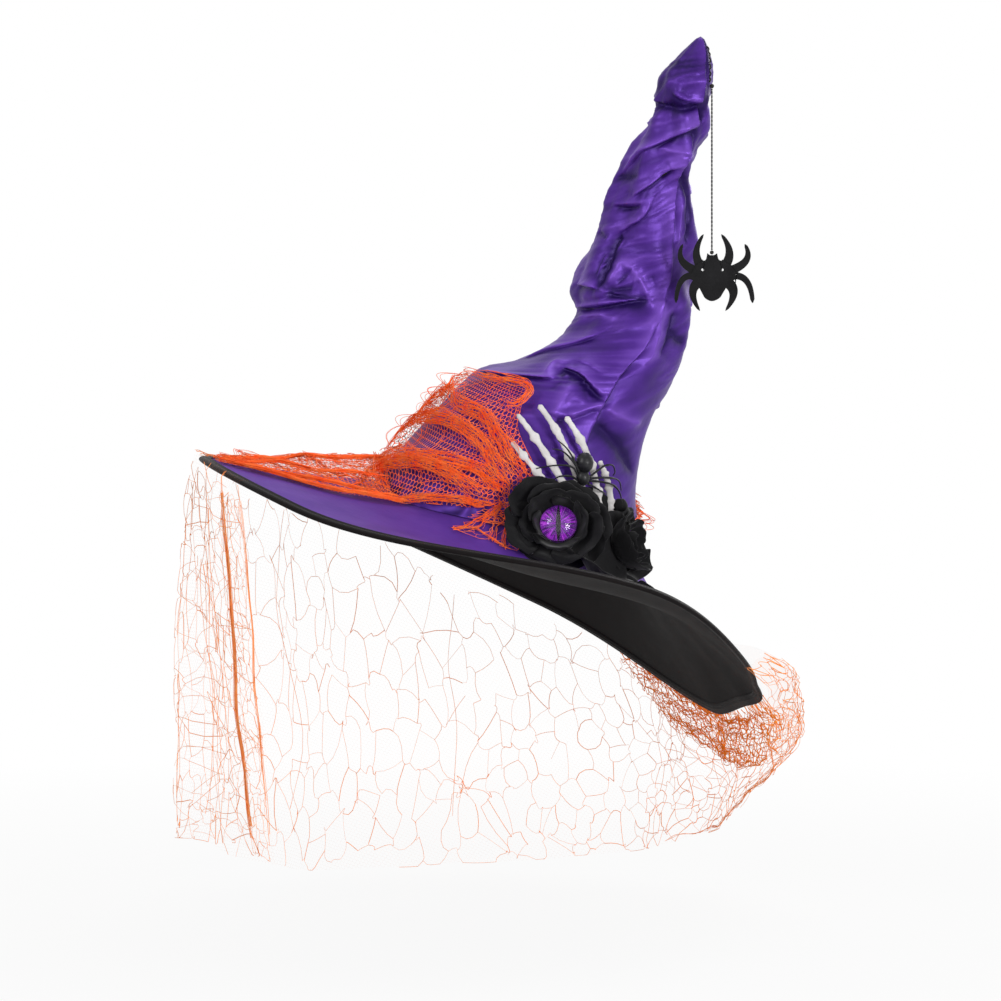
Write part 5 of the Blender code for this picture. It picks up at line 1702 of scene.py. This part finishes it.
def make_roses():
    front = trim_frame(before_crown(*ROSE_CENTRE, ROSE_STANDOFF + ROSE_RISE), ROSE_AXIS)
    side = trim_frame(Vector(SMALL_ROSE_CENTRE), SMALL_ROSE_AXIS)
    for eye, frame_at, rings, hood in (("rose_eye", front, PETAL_RINGS, 0.0),
                                       ("small_rose_eye", side, SMALL_PETAL_RINGS, 0.6)):
        floor = 0.0
        for ring in rings:
            petal_ring(ring, frame_at, floor, hood)
            floor += ROSE_WALL + FIT
        make_eye(eye, frame_at, floor)


def on_hand(x, z, rise):
    """Point in front of the hand's face by the given rise, at x and z in millimetres."""
    return before_crown(x * MM, z * MM, ROSE_STANDOFF + 0.0005 + rise)


def in_hand(x, z):
    """Point in the middle of the hand's bones, at x and z in millimetres."""
    return before_crown(x * MM, z * MM, HAND_STANDOFF + 0.5 * HAND_WALL)


def sweep(path, widths, depths, sides):
    """Oval limb along a path of points, flat towards the crown."""
    count = len(path) - 1

    def place(u, v):
        k = round(v * count)
        along = (path[min(k + 1, count)] - path[max(k - 1, 0)]).normalized()
        side = along.cross(Vector((0.0, 1.0, 0.0))).normalized()
        a = ring_angle(u, sides)
        return path[k] + side * widths[k] * math.cos(a) + along.cross(side) * depths[k] * math.sin(a)

    bm = laid_grid(sides, count, place)
    merge(bm)
    bmesh.ops.edgeloop_fill(bm, edges=[edge for edge in bm.edges if edge.is_boundary])
    face_outward(bm)
    return bm


def finger(root, bend, tip, half):
    """Four bones with knobs at their joints."""
    path = []
    widths = []
    depths = []
    for k in range(FINGER_STEPS + 1):
        f = k / FINGER_STEPS
        path.append(in_hand(*arc_point(root, bend, tip, f)))
        bone = (4.0 * f) % 1.0
        knob = max(math.exp(-(bone / 0.13) ** 2), math.exp(-((1.0 - bone) / 0.16) ** 2))
        end = math.sqrt(max(1.0 - max((f - 0.94) / 0.0605, 0.0) ** 2, 0.02))
        lump = 1.06 + 0.3 * noise.noise(Vector((half, 26.0 * f, tip.x)))
        widths.append(1.25 * half * MM * (0.62 + 0.38 * knob) * (1.0 - 0.3 * f * f) * lump * end)
        depths.append(0.00125 * (0.7 + 0.55 * knob) * end)
    return sweep(path, widths, depths, 12)


def make_hand():
    """Knuckled finger bones on a palm, lying flat on the crown."""
    grids = [finger(Vector(root), Vector(bend), Vector(tip), half) for root, bend, tip, half in FINGERS]
    path = [in_hand(x, z) for x, z in smooth_route(PALM, 10)]
    swell = [math.sin(math.pi * (0.08 + 0.84 * k / (len(path) - 1))) for k in range(len(path))]
    grids.append(sweep(path, [0.009 * s for s in swell], [0.0011 * s for s in swell], 12))
    finish_piece("skeleton_hand_bones", join_grids(grids), BONE, ("skeleton_hand",))


def make_plastic_spider():
    """Moulded spider with a ribbed abdomen and eight bent legs."""
    grids = []
    for x, z, half, rise, ribs in PLASTIC_BODIES:
        bm = bmesh.new()
        bm.loops.layers.uv.new("UVMap")
        bmesh.ops.create_uvsphere(bm, u_segments=28, v_segments=20, radius=1.0)
        centre = on_hand(x, z, rise * MM)
        for vert in bm.verts:
            rib = 1.0 + ribs * math.cos(9.0 * math.pi * vert.co.z)
            vert.co = Vector(a * b * MM * rib for a, b in zip(vert.co, half)) + centre
        grids.append(bm)
    for leg in PLASTIC_LEGS:
        rows = smooth_route(leg, 6)
        path = []
        widths = []
        for k, (x, z) in enumerate(rows):
            f = k / (len(rows) - 1)
            path.append(on_hand(x, z, MM * (4.6 * (1.0 - f) + 3.4 * math.sin(math.pi * f) + 1.2 * f)))
            knuckle = 1.0 + 0.35 * math.exp(-((f - 0.42) / 0.05) ** 2)
            widths.append(0.00085 * (1.0 - 0.55 * f) * knuckle)
        grids.append(sweep(path, widths, widths, 8))
    finish_piece("moulded_spider", join_grids(grids), PLASTIC, ("plastic_spider",))


# Leaves: node, direction in degrees, inner and outer share of the brim, half width to the left and right,
# and rise of the foot that stands against the crown
LEAVES = (
    ("leaf_front", 305.0, 0.1, 0.64, 0.026, 0.02, 0.034),
    ("leaf_right", 322.0, 0.28, 0.62, 0.016, 0.013, 0.0),
)


def leaf_place(degrees, inner, outer, left, right, rise):
    """Placing of a curled, veined leaf with a saw-toothed edge."""
    def place(u, v):
        radius = OPENING_RADIUS + BRIM_WIDTH * (inner + (outer - inner) * v)
        across = 2.0 * u - 1.0
        half, roll = (left, 0.85) if across < 0.0 else (right, 0.55)
        width = half * max(math.sin(math.pi * (0.14 + 0.85 * v)), 0.0) ** 0.7
        serrate = 1.0 + 0.05 * math.sin(34.0 * v) * abs(across)
        veins = 0.0005 * math.sin(FULL_TURN * (4.0 * v + 0.8 * abs(across)))
        ruffle = 0.0012 * noise.noise(Vector((degrees, 2.0 * across, 4.0 * v)))
        curl = roll * width * abs(across) ** 1.4 * (1.0 - 0.4 * v)
        stand = max(1.0 - v / 0.45, 0.0)
        lift = BRIM_STACK + 0.0024 + curl * (1.0 - stand) + veins + ruffle + rise * stand ** 1.3
        angle = math.radians(degrees + (8.0 * stand if rise else 0.0))
        return brim_point(radius, angle + across * width * serrate / radius, lift)

    return place


def make_leaves():
    for name, *shape in LEAVES:
        bm = laid_grid(24, 24, leaf_place(*shape))
        thicken(finish_piece(name + "_cloth", bm, PETALS, (name,)), PETAL_WALL, 1.0)


def bud_place(centre, number):
    """Placing of one of the three petals wrapped round the bud."""
    def place(u, v):
        a = FULL_TURN * (0.48 * (2.0 * u - 1.0) + number / 3.0)
        swell = math.sin(math.pi * (0.1 + 0.8 * v)) ** 0.7 * (1.0 + 0.1 * u + 0.04 * number)
        return centre + Vector((swell * math.cos(a), swell * math.sin(a), 1.3 * (2.0 * v - 1.0))) * BUD_RADIUS

    return place


def make_bud():
    centre = on_hand(84.5, 4.0, 0.0045)
    grids = [laid_grid(12, 12, bud_place(centre, number)) for number in range(3)]
    thicken(finish_piece("rolled_bud", join_grids(grids), PETALS, ("rose_bud",)), BUD_WALL, 1.0)


def make_backing():
    def place(u, v):
        z = MM * (2.0 + 16.0 * (2.0 * v - 1.0))
        x = MM * (56.0 + 24.0 * (2.0 * u - 1.0) * math.sin(math.pi * (0.12 + 0.76 * v)))
        return before_crown(x, z, BACKING_STANDOFF + 0.5 * BACKING_WALL)

    made = finish_piece("trim_felt_pad", laid_grid(30, 24, place), FELT, ("trim_backing",))
    thicken(made, BACKING_WALL)


make_stage()
make_hanging_spider()
make_crown()
make_brim()
make_inside()
make_net()
make_backing()
make_hand()
make_roses()
make_leaves()
make_bud()
make_plastic_spider()

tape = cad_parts["gather_tape"]
tape.data.materials.clear()
tape.data.materials.append(LINING)
